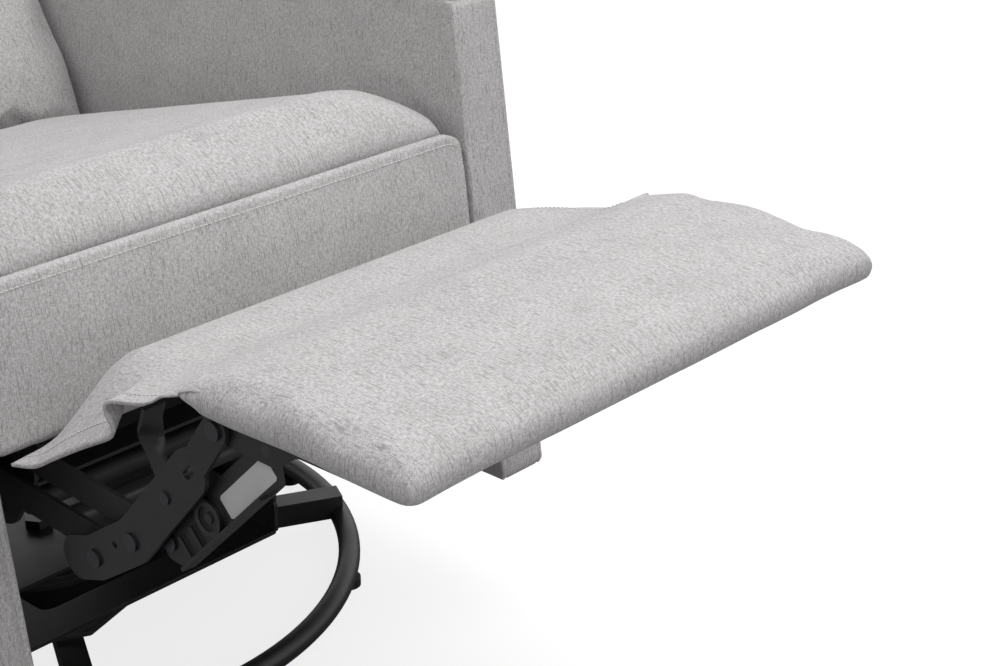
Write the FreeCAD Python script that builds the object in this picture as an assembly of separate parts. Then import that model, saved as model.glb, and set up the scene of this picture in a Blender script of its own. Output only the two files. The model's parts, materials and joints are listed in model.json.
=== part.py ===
"""Swivel glider recliner, footrest out and back partly reclined.

Millimetres. Origin on the floor under the swivel axis, +Z up, the chair faces -Y.
+X is the sitter's left. In side profiles "f" is the forward distance, so y = -f.
"""
import FreeCAD, Part
import math
import os

os.makedirs("parts", exist_ok=True)
V = FreeCAD.Vector

# Breadths that the seat's half width leads
SEAT_HALF_WIDTH = 258.0
ARM_GAP = 2.0
SIDE_PLATE_INSET = 51.0
PAD_INSET = 4.0
BOARD_INSET = 14.0
BACK_WING_OVERLAP = 42.0

# Ring base
RING_RADIUS = 308.0
RING_TUBE = 22.0
RING_HEIGHT = 18.5
GLIDE_COUNT = 8
GLIDE_DIAMETER = 26.0
GLIDE_SEAT = 1.5
SPOKE_SIZE = 25.0
SPOKE_WALL = 2.0
SPOKE_UNDERSIDE = 17.0
SPOKE_ANGLE = -27.5
SPOKE_OVERRUN = 2.0
SWIVEL_PLATE_SIDE = 300.0
SWIVEL_PLATE_THICK = 4.0
SWIVEL_PLATE_CHAMFER = 28.0

# Swivel bearing
RACE_OUTER = 210.0
RACE_INNER = 150.0
RACE_HEIGHT = 6.0
RACE_GAP = 0.3
SWIVEL_BOLT = 16.0
SWIVEL_HEAD = 30.0
SWIVEL_HEAD_HEIGHT = 9.0
SHAFT_CLEARANCE = 0.05

# Glide linkage
TURNTABLE_THICK = 4.0
TURNTABLE_LENGTH = 370.0
UPRIGHT_X = 150.0
UPRIGHT_WIDTH = 46.0
GLIDE_PIVOT_F = 145.0
GLIDE_TOP_Z = 166.0
GLIDE_LINK_LENGTH = 80.0
GLIDE_LINK_WIDTH = 26.0
GLIDE_STEEL = 4.0
GLIDE_GAP = 4.0
GLIDE_PIN = 12.0

# Recliner side plates and cross members
SIDE_PLATE_X = SEAT_HALF_WIDTH - SIDE_PLATE_INSET
STEEL = 4.0
LAYER_GAP = 1.0
TUBE = 22.0
TUBE_WALL = 2.0
FRONT_TUBE = (312.0, 285.0)
MID_TUBE = (92.0, 232.0)
REAR_TUBE = (-150.0, 206.0)
BUTT_GAP = 0.3
RAIL_F = 296.0
RAIL_Z = 304.0
RAIL_DEPTH = 34.0
RAIL_HEIGHT = 40.0
RAIL_THICK = 3.0
RAIL_SLOT = (150.0, 12.0)
RAIL_SLOT_INSET = 96.0

# Footrest linkage, pivots as (f, z) with the footrest out
PIVOT_A = (274.15, 305.01)
PIVOT_B = (442.0, 298.0)
PIVOT_C = (588.0, 450.0)
LINK_OFFSET = (46.0, 31.0)
TOGGLE_OFFSET = (32.0, 8.4)
BRACKET_OFFSET = (44.7, -0.7)
RIVET = 8.0
RIVET_HEAD = 14.0
RIVET_HEAD_HEIGHT = 2.0
RIVET_SHOULDER = 12.0
SIDE_CLEARANCE = 0.3
OPEN_PIVOT_CLEARANCE = 1.35
OPEN_PIVOT_TRAVEL = 5.8
TOGGLE_END_RADIUS = 11.0
CRANK_WIDTH = 25.0
UPPER_WIDTH = 23.0
MAIN_WIDTH = 35.0
MAIN_END_RADIUS = 11.5
TORQUE_TUBE = 18.0
TORQUE_TUBE_REACH = 110.0
TOGGLE_INNER_SIDE = 9.5
TOGGLE_OUTER_SIDE = 24.0
TOGGLE_FLANGE = 9.0
TOGGLE_BOSS = 30.0
TOGGLE_BOSS_HEIGHT = 4.5
BUMPER_DIAMETER = 14.0
BUMPER_HEIGHT = 17.0
STRAP_HOLE = (531.0, 380.0)
STRAP_WIDTH = 18.0
STRAP_THICK = 3.0
STRAP_RIVET = 5.0

# Footrest board and pad
PAD_HALF_WIDTH = SEAT_HALF_WIDTH - PAD_INSET
PAD_REAR_F = 560.0
PAD_FRONT_F = 784.0
PAD_LOFT = 22.0
BOARD_THICK = 12.0
BOARD_GAP = 1.5
BOARD_UNDERSIDE = PIVOT_C[1] + MAIN_END_RADIUS + BOARD_GAP
PAD_TOP_Z = BOARD_UNDERSIDE + BOARD_THICK + PAD_LOFT
BOARD_REAR_F = 582.0
BOARD_FRONT_F = 768.0
BOARD_HALF_WIDTH = PAD_HALF_WIDTH - BOARD_INSET
PAD_CORNER = 34.0
SOFT_GAP = 0.3
BRACKET_DROP = 11.0
BRACKET_FRONT_F = 724.0
BRACKET_FLANGE = 26.0
BLOCK_LENGTH = 38.0
BLOCK_DEPTH = 26.0
BLOCK_HEIGHT = 11.0
BLOCK_X = -142.0
FLAP_THICK = 3.0

# Seat
SEAT_REAR_F = -200.0
SEAT_NOSE_F = 342.0
SEAT_REAR_TOP = 377.0
SEAT_PITCH = 14.8
SEAT_THICK = 86.0
SEAT_CROWN = 14.0
FASCIA_TOP_F = 346.0
FASCIA_BOTTOM_F = 363.0
FASCIA_TOP_Z = 481.0
FASCIA_BOTTOM_Z = 355.0
FASCIA_THICK = 22.0
SEAT_RAIL_HEIGHT = 34.0
SEAT_RAIL_X = (SIDE_PLATE_X - 15.0, SIDE_PLATE_X + 31.0)
SEAT_CROSS_RAIL = 32.0
SEAT_RAIL_SETBACK = 8.0
WEBBING_WIDTH = 50.0
WEBBING_THICK = 3.0
WEBBING_MARGIN = 25.0

# Arms
ARM_INNER_X = SEAT_HALF_WIDTH + ARM_GAP
ARM_WIDTH = 57.0
ARM_BOTTOM_Z = 105.0
ARM_TOP_Z = 598.0
ARM_PAD_HEIGHT = 34.0
ARM_FRONT_F = 370.0
ARM_FRONT_REF_Z = 300.0
ARM_FRONT_LEAN = 0.14
ARM_REAR_F = -322.0
ARM_COVER = 8.0
ARM_BOARD_WINDOW = 70.0
ARM_SPACER_F = (92.0, -150.0)
ARM_SPACER = 30.0
ARM_SPACER_DROP = 26.0

# Back
BACK_PIVOT = (-278.3, 322.2)
BACK_EAR_RADIUS = 15.0
BACK_TILT = 33.0
BACK_CREASE = (-220.0, 372.0)
BACK_LENGTH = 690.0
BACK_CUSHION = 62.0
BACK_BULGE = 22.0
BACK_SHELL_DEPTH = 50.0
BACK_SHELL = 12.0
BACK_WING_START = 335.0
BACK_WING_HALF_WIDTH = SEAT_HALF_WIDTH + BACK_WING_OVERLAP
BACK_LUMBAR_TOP = 246.0
BACK_MIDDLE_TOP = 474.0
BACK_POST_WIDTH = 35.0
BACK_POST_DEPTH = 30.0
BACK_ARM_WIDTH = 30.0
BACK_ARM_LENGTH = 250.0

# Release lever on the sitter's right arm
LEVER_PIVOT = (150.0, 420.0)
LEVER_SHAFT = 12.0
LEVER_BEZEL = 56.0
LEVER_BEZEL_THICK = 4.0
LEVER_LENGTH = 150.0
LEVER_THICK = 16.0
LEVER_HUB = 44.0


def layer(n):
    """Inboard face of steel layer n, counted outward from the side plate."""
    return SIDE_PLATE_X + n * (STEEL + LAYER_GAP)


def at(f, z, x=0.0):
    return V(x, -f, z)


def add2(p, q):
    return (p[0] + q[0], p[1] + q[1])


PIVOT_D = add2(PIVOT_A, LINK_OFFSET)
PIVOT_E = add2(PIVOT_B, LINK_OFFSET)
PIVOT_T = add2(PIVOT_E, TOGGLE_OFFSET)
PIVOT_G = add2(PIVOT_C, BRACKET_OFFSET)


def rounded_wire(points, radius, place):
    """Closed outline through 2D points with each corner rounded; place maps 2D to 3D."""
    n = len(points)
    radii = radius if isinstance(radius, (list, tuple)) else [radius] * n
    starts, mids, ends = [], [], []
    for i in range(n):
        p = V(points[i][0], points[i][1], 0)
        a = V(points[i - 1][0], points[i - 1][1], 0) - p
        b = V(points[(i + 1) % n][0], points[(i + 1) % n][1], 0) - p
        la, lb = a.Length, b.Length
        a.normalize()
        b.normalize()
        half = math.acos(max(-1.0, min(1.0, a.dot(b)))) / 2
        cut = min(radii[i] / math.tan(half), 0.48 * la, 0.48 * lb) if radii[i] > 0 else 0.0
        if cut < 0.05 or half > math.radians(89.5):
            starts.append(p)
            mids.append(None)
            ends.append(p)
            continue
        r = cut * math.tan(half)
        axis = a + b
        axis.normalize()
        starts.append(p + a * cut)
        ends.append(p + b * cut)
        mids.append(p + axis * (r / math.sin(half) - r))
    edges = []
    for i in range(n):
        s, m, e = place(starts[i]), mids[i], place(ends[i])
        if m is not None:
            edges.append(Part.Arc(s, place(m), e).toShape())
        nxt = place(starts[(i + 1) % n])
        if (nxt - e).Length > 1e-4:
            edges.append(Part.LineSegment(e, nxt).toShape())
    return Part.Wire(edges)


def side_prism(points, radius, x0, x1):
    """Outline in (f, z) carried from x0 to x1."""
    wire = rounded_wire(points, radius, lambda p: V(x0, -p.x, p.y))
    return Part.Face(wire).extrude(V(x1 - x0, 0, 0))


def front_prism(points, radius, f0, f1, rise=0.0):
    """Outline in (x, z) carried from f0 to f1, climbing by rise."""
    wire = rounded_wire(points, radius, lambda p: V(p.x, -f0, p.y))
    return Part.Face(wire).extrude(V(0, -(f1 - f0), rise))


def plan_prism(points, radius, z0, z1):
    """Outline in (x, f) carried from z0 to z1."""
    wire = rounded_wire(points, radius, lambda p: V(p.x, -p.y, z0))
    return Part.Face(wire).extrude(V(0, 0, z1 - z0))


def box(x0, x1, f0, f1, z0, z1):
    return Part.makeBox(x1 - x0, f1 - f0, z1 - z0, V(x0, -f1, z0))


def xpin(f, z, radius, x0, x1):
    return Part.makeCylinder(radius, x1 - x0, at(f, z, x0), V(1, 0, 0))


def bar(points, width, x0, thick):
    """Flat bar of steady width along pivots, with round ends."""
    shape = None
    for p in points:
        disc = xpin(p[0], p[1], width / 2, x0, x0 + thick)
        shape = disc if shape is None else shape.fuse(disc)
    for p, q in zip(points, points[1:]):
        length = math.hypot(q[0] - p[0], q[1] - p[1])
        body = Part.makeBox(thick, length, width, V(0, -length, -width / 2))
        angle = math.degrees(math.atan2(q[1] - p[1], q[0] - p[0]))
        body.rotate(V(0, 0, 0), V(1, 0, 0), -angle)
        body.translate(at(p[0], p[1], x0))
        shape = shape.fuse(body)
    return shape.removeSplitter()


def drill(shape, pivots, diameter, x0=-400.0, x1=400.0):
    for p in pivots:
        shape = shape.cut(xpin(p[0], p[1], diameter / 2, x0, x1))
    return shape


def mirrored(shape):
    return shape.mirror(V(0, 0, 0), V(1, 0, 0))


def pair(name, shape):
    """The shape is drawn on the sitter's left, +X; both sides are written."""
    save(name + "_left", shape)
    save(name + "_right", mirrored(shape))


def both(name, *shapes):
    """One node holding the left pieces and their mirror images."""
    save(name, *shapes, *[mirrored(s) for s in shapes])


def save(name, *shapes):
    solids = []
    for s in shapes:
        solids.extend(s.Solids)
    out = solids[0] if len(solids) == 1 else Part.makeCompound(solids)
    out.exportStep("parts/" + name + ".step")


def stud(p, inner, outer, inner_head, outer_head, hole_at=None):
    """Stepped rivet: shank through two layers, shoulder between, heads where there is room."""
    x0 = layer(inner) if not inner_head else layer(inner) - SIDE_CLEARANCE - RIVET_HEAD_HEIGHT
    x1 = layer(outer) + STEEL
    if outer_head:
        x1 += SIDE_CLEARANCE + RIVET_HEAD_HEIGHT
    shape = xpin(p[0], p[1], RIVET / 2, x0, x1)
    s0 = layer(inner) + STEEL + SIDE_CLEARANCE
    s1 = layer(outer) - SIDE_CLEARANCE
    shape = shape.fuse(xpin(p[0], p[1], RIVET_SHOULDER / 2, s0, s1))
    if inner_head:
        shape = shape.fuse(xpin(p[0], p[1], RIVET_HEAD / 2, x0, x0 + RIVET_HEAD_HEIGHT))
    if outer_head:
        shape = shape.fuse(xpin(p[0], p[1], RIVET_HEAD / 2, x1 - RIVET_HEAD_HEIGHT, x1))
    return shape.removeSplitter()


def tube_x(p, diameter, wall, x0, x1):
    return xpin(p[0], p[1], diameter / 2, x0, x1).cut(xpin(p[0], p[1], diameter / 2 - wall, x0, x1))


RIVET_HOLE = RIVET + 2 * SHAFT_CLEARANCE
OPEN_SLOT = RIVET + 2 * OPEN_PIVOT_CLEARANCE


# Ring base and swivel plate
def base_parts():
    ring = Part.makeTorus(RING_RADIUS, RING_TUBE / 2, V(0, 0, RING_HEIGHT))
    feet = []
    seat_z = RING_HEIGHT - RING_TUBE / 2 + GLIDE_SEAT
    for i in range(GLIDE_COUNT):
        a = math.radians(SPOKE_ANGLE + (i + 0.5) * 360.0 / GLIDE_COUNT)
        foot = Part.makeCylinder(GLIDE_DIAMETER / 2, seat_z, V(RING_RADIUS * math.cos(a), RING_RADIUS * math.sin(a), 0))
        foot = foot.cut(Part.makeTorus(RING_RADIUS, RING_TUBE / 2 + SHAFT_CLEARANCE, V(0, 0, RING_HEIGHT)))
        feet.append(foot)
    save("base_ring", ring)
    save("base_floor_glides", *feet)

    reach = RING_RADIUS + SPOKE_OVERRUN
    outer, inner = None, None
    half = SPOKE_SIZE / 2
    bore = half - SPOKE_WALL
    for turn in (0, 90):
        o = Part.makeBox(2 * reach, SPOKE_SIZE, SPOKE_SIZE, V(-reach, -half, SPOKE_UNDERSIDE))
        i = Part.makeBox(2 * reach, 2 * bore, 2 * bore, V(-reach, -bore, SPOKE_UNDERSIDE + SPOKE_WALL))
        o.rotate(V(0, 0, 0), V(0, 0, 1), turn)
        i.rotate(V(0, 0, 0), V(0, 0, 1), turn)
        outer = o if outer is None else outer.fuse(o)
        inner = i if inner is None else inner.fuse(i)
    spokes = outer.cut(inner).removeSplitter()
    spokes.rotate(V(0, 0, 0), V(0, 0, 1), SPOKE_ANGLE)
    spokes = spokes.cut(Part.makeTorus(RING_RADIUS, RING_TUBE / 2 + SHAFT_CLEARANCE, V(0, 0, RING_HEIGHT)))
    solids = sorted(spokes.Solids, key=lambda s: s.Volume)
    save("base_spokes", solids[-1])

    h = SWIVEL_PLATE_SIDE / 2
    c = SWIVEL_PLATE_CHAMFER
    outline = [(h - c, -h), (h, -h + c), (h, h - c), (h - c, h), (-h + c, h), (-h, h - c), (-h, -h + c), (-h + c, -h)]
    z0 = SPOKE_UNDERSIDE + SPOKE_SIZE
    plate = plan_prism(outline, 4.0, z0, z0 + SWIVEL_PLATE_THICK)
    plate.rotate(V(0, 0, 0), V(0, 0, 1), SPOKE_ANGLE + 45.0)
    save("base_swivel_plate", plate)


PLATE_TOP = SPOKE_UNDERSIDE + SPOKE_SIZE + SWIVEL_PLATE_THICK
UPPER_RACE_Z = PLATE_TOP + RACE_HEIGHT + RACE_GAP
TURNTABLE_Z = UPPER_RACE_Z + RACE_HEIGHT


def race(z):
    ring = Part.makeCylinder(RACE_OUTER / 2, RACE_HEIGHT, V(0, 0, z))
    return ring.cut(Part.makeCylinder(RACE_INNER / 2, RACE_HEIGHT, V(0, 0, z)))


def swivel_parts():
    save("swivel_lower_race", race(PLATE_TOP))
    save("swivel_upper_race", race(UPPER_RACE_Z))
    top = TURNTABLE_Z + TURNTABLE_THICK + RACE_GAP
    bolt = Part.makeCylinder(SWIVEL_BOLT / 2, top - PLATE_TOP, V(0, 0, PLATE_TOP))
    bolt = bolt.fuse(Part.makeCylinder(SWIVEL_HEAD / 2, RACE_HEIGHT, V(0, 0, PLATE_TOP)))
    hexagon = []
    for i in range(6):
        a = math.radians(60 * i)
        hexagon.append((SWIVEL_HEAD / 2 * math.cos(a), SWIVEL_HEAD / 2 * math.sin(a)))
    bolt = bolt.fuse(plan_prism(hexagon, 0.0, top, top + SWIVEL_HEAD_HEIGHT))
    save("swivel_bolt", bolt.removeSplitter())


# Turntable frame and glide links
LINK_X = UPRIGHT_X + GLIDE_STEEL + GLIDE_GAP
CARRIAGE_X = LINK_X + GLIDE_STEEL + GLIDE_GAP
GLIDE_LOW_Z = GLIDE_TOP_Z - GLIDE_LINK_LENGTH


def glide_parts():
    half = TURNTABLE_LENGTH / 2
    x1 = UPRIGHT_X + GLIDE_STEEL
    deck = [(-x1, -half), (x1, -half), (x1, half), (-x1, half)]
    frame = plan_prism(deck, 6.0, TURNTABLE_Z, TURNTABLE_Z + TURNTABLE_THICK)
    for corner in (-1, 1):
        window = [(-95, corner * 118 - 26), (95, corner * 118 - 26), (95, corner * 118 + 26), (-95, corner * 118 + 26)]
        frame = frame.cut(plan_prism(window, 12.0, TURNTABLE_Z - 1, TURNTABLE_Z + TURNTABLE_THICK + 1))
    w = UPRIGHT_WIDTH / 2
    top = GLIDE_TOP_Z
    cheek = []
    for s in (-1, 1):
        c = s * GLIDE_PIVOT_F
        low = TURNTABLE_Z + TURNTABLE_THICK + 30
        cheek.append([(c - w, low), (c + w, low), (c + w * 0.6, top + 15), (c - w * 0.6, top + 15)])
    for sx in (-1, 1):
        xa = sx * UPRIGHT_X
        xb = sx * (UPRIGHT_X + GLIDE_STEEL)
        web = [(-half, TURNTABLE_Z), (half, TURNTABLE_Z), (half, TURNTABLE_Z + TURNTABLE_THICK + 32)]
        web.append((-half, TURNTABLE_Z + TURNTABLE_THICK + 32))
        side = side_prism(web, 5.0, min(xa, xb), max(xa, xb))
        for c in cheek:
            side = side.fuse(side_prism(c, 10.0, min(xa, xb), max(xa, xb)))
        frame = frame.fuse(side)
    frame = frame.cut(Part.makeCylinder(SWIVEL_BOLT / 2 + SHAFT_CLEARANCE, 40, V(0, 0, TURNTABLE_Z - 10)))
    tops = [(s * GLIDE_PIVOT_F, GLIDE_TOP_Z) for s in (-1, 1)]
    frame = drill(frame, tops, GLIDE_PIN + 2 * SHAFT_CLEARANCE)
    save("turntable_frame", frame.removeSplitter())

    hole = GLIDE_PIN + 2 * SHAFT_CLEARANCE
    upper_pins, lower_pins = [], []
    for name, f in (("front", GLIDE_PIVOT_F), ("rear", -GLIDE_PIVOT_F)):
        high = (f, GLIDE_TOP_Z)
        low = (f, GLIDE_LOW_Z)
        link = bar([high, low], GLIDE_LINK_WIDTH, LINK_X, GLIDE_STEEL)
        link = drill(link, [high, low], hole)
        both("glide_links_" + name, link)
        for sx in (-1, 1):
            pin = xpin(high[0], high[1], GLIDE_PIN / 2, UPRIGHT_X - 4, LINK_X + GLIDE_STEEL + 1)
            pin = pin.fuse(xpin(high[0], high[1], 9.5, UPRIGHT_X + GLIDE_STEEL + SIDE_CLEARANCE, LINK_X - SIDE_CLEARANCE))
            pin = pin.fuse(xpin(high[0], high[1], 9.5, UPRIGHT_X - 4, UPRIGHT_X - SIDE_CLEARANCE)).removeSplitter()
            upper_pins.append(pin if sx > 0 else mirrored(pin))
            a = LINK_X + GLIDE_STEEL + SIDE_CLEARANCE
            pin = xpin(low[0], low[1], GLIDE_PIN / 2, LINK_X - 1, CARRIAGE_X + GLIDE_STEEL + 4)
            pin = pin.fuse(xpin(low[0], low[1], 9.5, a, CARRIAGE_X - SIDE_CLEARANCE))
            b = CARRIAGE_X + GLIDE_STEEL + SIDE_CLEARANCE
            pin = pin.fuse(xpin(low[0], low[1], 9.5, b, CARRIAGE_X + GLIDE_STEEL + 4)).removeSplitter()
            lower_pins.append(pin if sx > 0 else mirrored(pin))
    save("glide_pins_upper", *upper_pins)
    save("glide_pins_lower", *lower_pins)

    g = GLIDE_PIVOT_F
    z = GLIDE_LOW_Z
    outline = [(g + 20, z - 18), (g + 20, z + 18), (MID_TUBE[0] + 34, MID_TUBE[1] - 60)]
    outline += [(MID_TUBE[0] + 22, MID_TUBE[1] + 16), (MID_TUBE[0] - 22, MID_TUBE[1] + 16)]
    outline += [(MID_TUBE[0] - 40, MID_TUBE[1] - 66), (REAR_TUBE[0] + 40, REAR_TUBE[1] - 56)]
    outline += [(REAR_TUBE[0] + 20, REAR_TUBE[1] + 18), (REAR_TUBE[0] - 20, REAR_TUBE[1] + 18)]
    outline += [(-g - 22, z + 18), (-g - 22, z - 18)]
    carriage = side_prism(outline, 12.0, CARRIAGE_X, CARRIAGE_X + GLIDE_STEEL)
    carriage = drill(carriage, [(g, z), (-g, z)], hole)
    carriage = drill(carriage, [MID_TUBE, REAR_TUBE], TUBE + 2 * SHAFT_CLEARANCE)
    pair("carriage_plate", carriage)


# Side plates and cross members of the recliner frame
def side_plate_outline():
    top = seat_rail_underside
    pb = BACK_PIVOT
    front = FASCIA_BOTTOM_F - FASCIA_THICK - 7
    points = [(front - 22, FASCIA_BOTTOM_Z + 22), (front, FASCIA_BOTTOM_Z - 4), (front, PIVOT_A[1] + 7)]
    points += [(FRONT_TUBE[0] - 12, FRONT_TUBE[1] - 23), (180, 222), (0, 196), (-190, 180)]
    points += [(pb[0] - 6.7, pb[1] - 13), (pb[0] + 10, pb[1] + 9)]
    points += [(SEAT_REAR_F - 2, top(SEAT_REAR_F - 2) - SIDE_CLEARANCE), (300, top(300) - SIDE_CLEARANCE)]
    return points


SEAT_DECK_GAP = SOFT_GAP + WEBBING_THICK / math.cos(math.radians(SEAT_PITCH)) + SHAFT_CLEARANCE


def seat_top(f):
    return SEAT_REAR_TOP + (f - SEAT_REAR_F) * math.tan(math.radians(SEAT_PITCH))


def seat_underside(f):
    return seat_top(f) - SEAT_THICK


def seat_rail_underside(f):
    return seat_underside(f) - SEAT_DECK_GAP - SEAT_RAIL_HEIGHT


def frame_parts():
    radii = [12, 8, 14, 20, 40, 60, 60, 4, 4, 20, 12]
    plate = side_prism(side_plate_outline(), radii, SIDE_PLATE_X, SIDE_PLATE_X + STEEL)
    ear = xpin(BACK_PIVOT[0], BACK_PIVOT[1], BACK_EAR_RADIUS, SIDE_PLATE_X, SIDE_PLATE_X + STEEL)
    plate = plate.fuse(ear).removeSplitter()
    plate = drill(plate, [PIVOT_A, PIVOT_D], RIVET_HOLE)
    plate = drill(plate, [BACK_PIVOT], GLIDE_PIN + 2 * SHAFT_CLEARANCE)
    pair("side_plate", plate)
    end = SIDE_PLATE_X - BUTT_GAP
    save("cross_tubes", *[tube_x(p, TUBE, TUBE_WALL, -end, end) for p in (FRONT_TUBE, MID_TUBE, REAR_TUBE)])
    f0, z0 = RAIL_F, RAIL_Z
    angle = [(f0, z0), (f0 + RAIL_DEPTH, z0), (f0 + RAIL_DEPTH, z0 + RAIL_THICK), (f0 + RAIL_THICK, z0 + RAIL_THICK)]
    angle += [(f0 + RAIL_THICK, z0 + RAIL_HEIGHT), (f0, z0 + RAIL_HEIGHT)]
    rail = side_prism(angle, 0.0, -end, end)
    slot_l, slot_w = RAIL_SLOT
    for sx in (-1, 1):
        c = sx * (SIDE_PLATE_X - RAIL_SLOT_INSET)
        zc = z0 + 22.0
        slot = [(c - slot_l / 2, zc - slot_w / 2), (c + slot_l / 2, zc - slot_w / 2)]
        slot += [(c + slot_l / 2, zc + slot_w / 2), (c - slot_l / 2, zc + slot_w / 2)]
        rail = rail.cut(front_prism(slot, slot_w / 2 - 0.2, f0 - 2, f0 + RAIL_THICK + 2))
    save("front_slotted_rail", rail)
    spacers = []
    for f in ARM_SPACER_F:
        z = seat_rail_underside(f) - ARM_SPACER_DROP
        h = ARM_SPACER / 2
        o = box(SIDE_PLATE_X + STEEL + BUTT_GAP, ARM_INNER_X - BUTT_GAP, f - h, f + h, z - h, z + h)
        i = box(SIDE_PLATE_X + STEEL, ARM_INNER_X, f - h + 3, f + h - 3, z - h + 3, z + h - 3)
        spacers.append(o.cut(i))
    both("arm_spacers", *spacers)


# Footrest linkage
def toggle_frame(u, v):
    """Point along the toggle link, u from its lower pivot, v outward from the main link."""
    du, dz = PIVOT_G[0] - PIVOT_T[0], PIVOT_G[1] - PIVOT_T[1]
    n = math.hypot(du, dz)
    return (PIVOT_T[0] + (du * u + dz * v) / n, PIVOT_T[1] + (dz * u - du * v) / n)


def linkage_parts():
    crank = bar([PIVOT_A, PIVOT_B], CRANK_WIDTH, layer(2), STEEL)
    n = math.hypot(PIVOT_B[0] - PIVOT_A[0], PIVOT_B[1] - PIVOT_A[1])
    k = TORQUE_TUBE_REACH / n
    tp = (PIVOT_A[0] + (PIVOT_B[0] - PIVOT_A[0]) * k, PIVOT_A[1] + (PIVOT_B[1] - PIVOT_A[1]) * k)
    crank = drill(crank, [PIVOT_A, PIVOT_B], RIVET_HOLE)
    both("crank_links", crank)
    end = layer(2) - BUTT_GAP
    save("crank_torque_tube", tube_x(tp, TORQUE_TUBE, TUBE_WALL, -end, end))

    upper = bar([PIVOT_D, PIVOT_E, PIVOT_T], UPPER_WIDTH, layer(1), STEEL)
    both("upper_links", drill(upper, [PIVOT_D, PIVOT_E, PIVOT_T], RIVET_HOLE))

    low = (PIVOT_B[0] - 22, PIVOT_B[1] - 8)
    bend = add2(PIVOT_B, LINK_OFFSET)
    main = bar([low, PIVOT_B, bend, (558, 408)], MAIN_WIDTH, layer(5), STEEL)
    taper = bar([(558, 408), PIVOT_C], 2 * MAIN_END_RADIUS, layer(5), STEEL)
    main = main.fuse(taper).removeSplitter()
    main = drill(main, [PIVOT_B, PIVOT_C], RIVET_HOLE)
    main = drill(main, [PIVOT_E], RIVET_HOLE)
    main = drill(main, [(467, 318.5), STRAP_HOLE], STRAP_RIVET + 0.5)
    main = main.cut(bar([(556, 406), (561, 411)], 7.0, layer(5) - 1, STEEL + 2))
    pair("main_link", main)

    u1 = math.hypot(PIVOT_G[0] - PIVOT_T[0], PIVOT_G[1] - PIVOT_T[1])
    a, b = -TOGGLE_INNER_SIDE, TOGGLE_OUTER_SIDE
    outline = [(-TOGGLE_INNER_SIDE, a), (u1, a), (u1 + 2, 4), (u1 - 13, b), (2, b), (-12, 8)]
    flat = side_prism([toggle_frame(u, v) for u, v in outline], [8, 4, 4, 3, 9, 8], layer(3), layer(3) + STEEL)
    lobe = toggle_frame(u1, -OPEN_PIVOT_TRAVEL / 2)
    flat = flat.fuse(xpin(lobe[0], lobe[1], TOGGLE_END_RADIUS, layer(3), layer(3) + STEEL))
    lip = [(8, b - 3), (u1 - 28, b - 3), (u1 - 28, b), (8, b)]
    lip_x1 = layer(3) + STEEL + TOGGLE_FLANGE
    flat = flat.fuse(side_prism([toggle_frame(u, v) for u, v in lip], 0.0, layer(3), lip_x1))
    for u in (14.0, 32.0):
        rib = [(u, 2), (u + 3, 2), (u + 3, b - 1), (u, b - 1)]
        flat = flat.fuse(side_prism([toggle_frame(s, v) for s, v in rib], 0.0, layer(3) + 1, layer(3) + STEEL + 3))
    boss = toggle_frame(60.0, 7.0)
    x0 = layer(3) + STEEL
    cup = xpin(boss[0], boss[1], TOGGLE_BOSS / 2 - 1.5, x0 - 1, x0 + TOGGLE_BOSS_HEIGHT)
    cup = cup.cut(xpin(boss[0], boss[1], TOGGLE_BOSS / 2 - 5.5, x0 + 2, x0 + TOGGLE_BOSS_HEIGHT))
    cup = cup.fuse(xpin(boss[0], boss[1], 4.0, x0, x0 + TOGGLE_BOSS_HEIGHT - 1))
    flat = drill(flat.fuse(cup).removeSplitter(), [PIVOT_T], RIVET_HOLE)
    slot = bar([PIVOT_G, toggle_frame(u1, -OPEN_PIVOT_TRAVEL)], OPEN_SLOT, layer(3) - 1, STEEL + 2)
    pair("toggle_link", flat.cut(slot))

    studs = [stud(PIVOT_A, 0, 2, True, True), stud(PIVOT_D, 0, 1, True, True)]
    both("frame_studs", *studs)
    studs = [stud(PIVOT_B, 2, 5, False, True), stud(PIVOT_E, 1, 5, False, True)]
    both("main_link_studs", *studs)
    studs = [stud(PIVOT_T, 1, 3, False, True)]
    both("toggle_studs", *studs)
    studs = [stud(PIVOT_C, 4, 5, False, True), stud(PIVOT_G, 3, 4, False, False)]
    both("bracket_studs", *studs)


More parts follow.
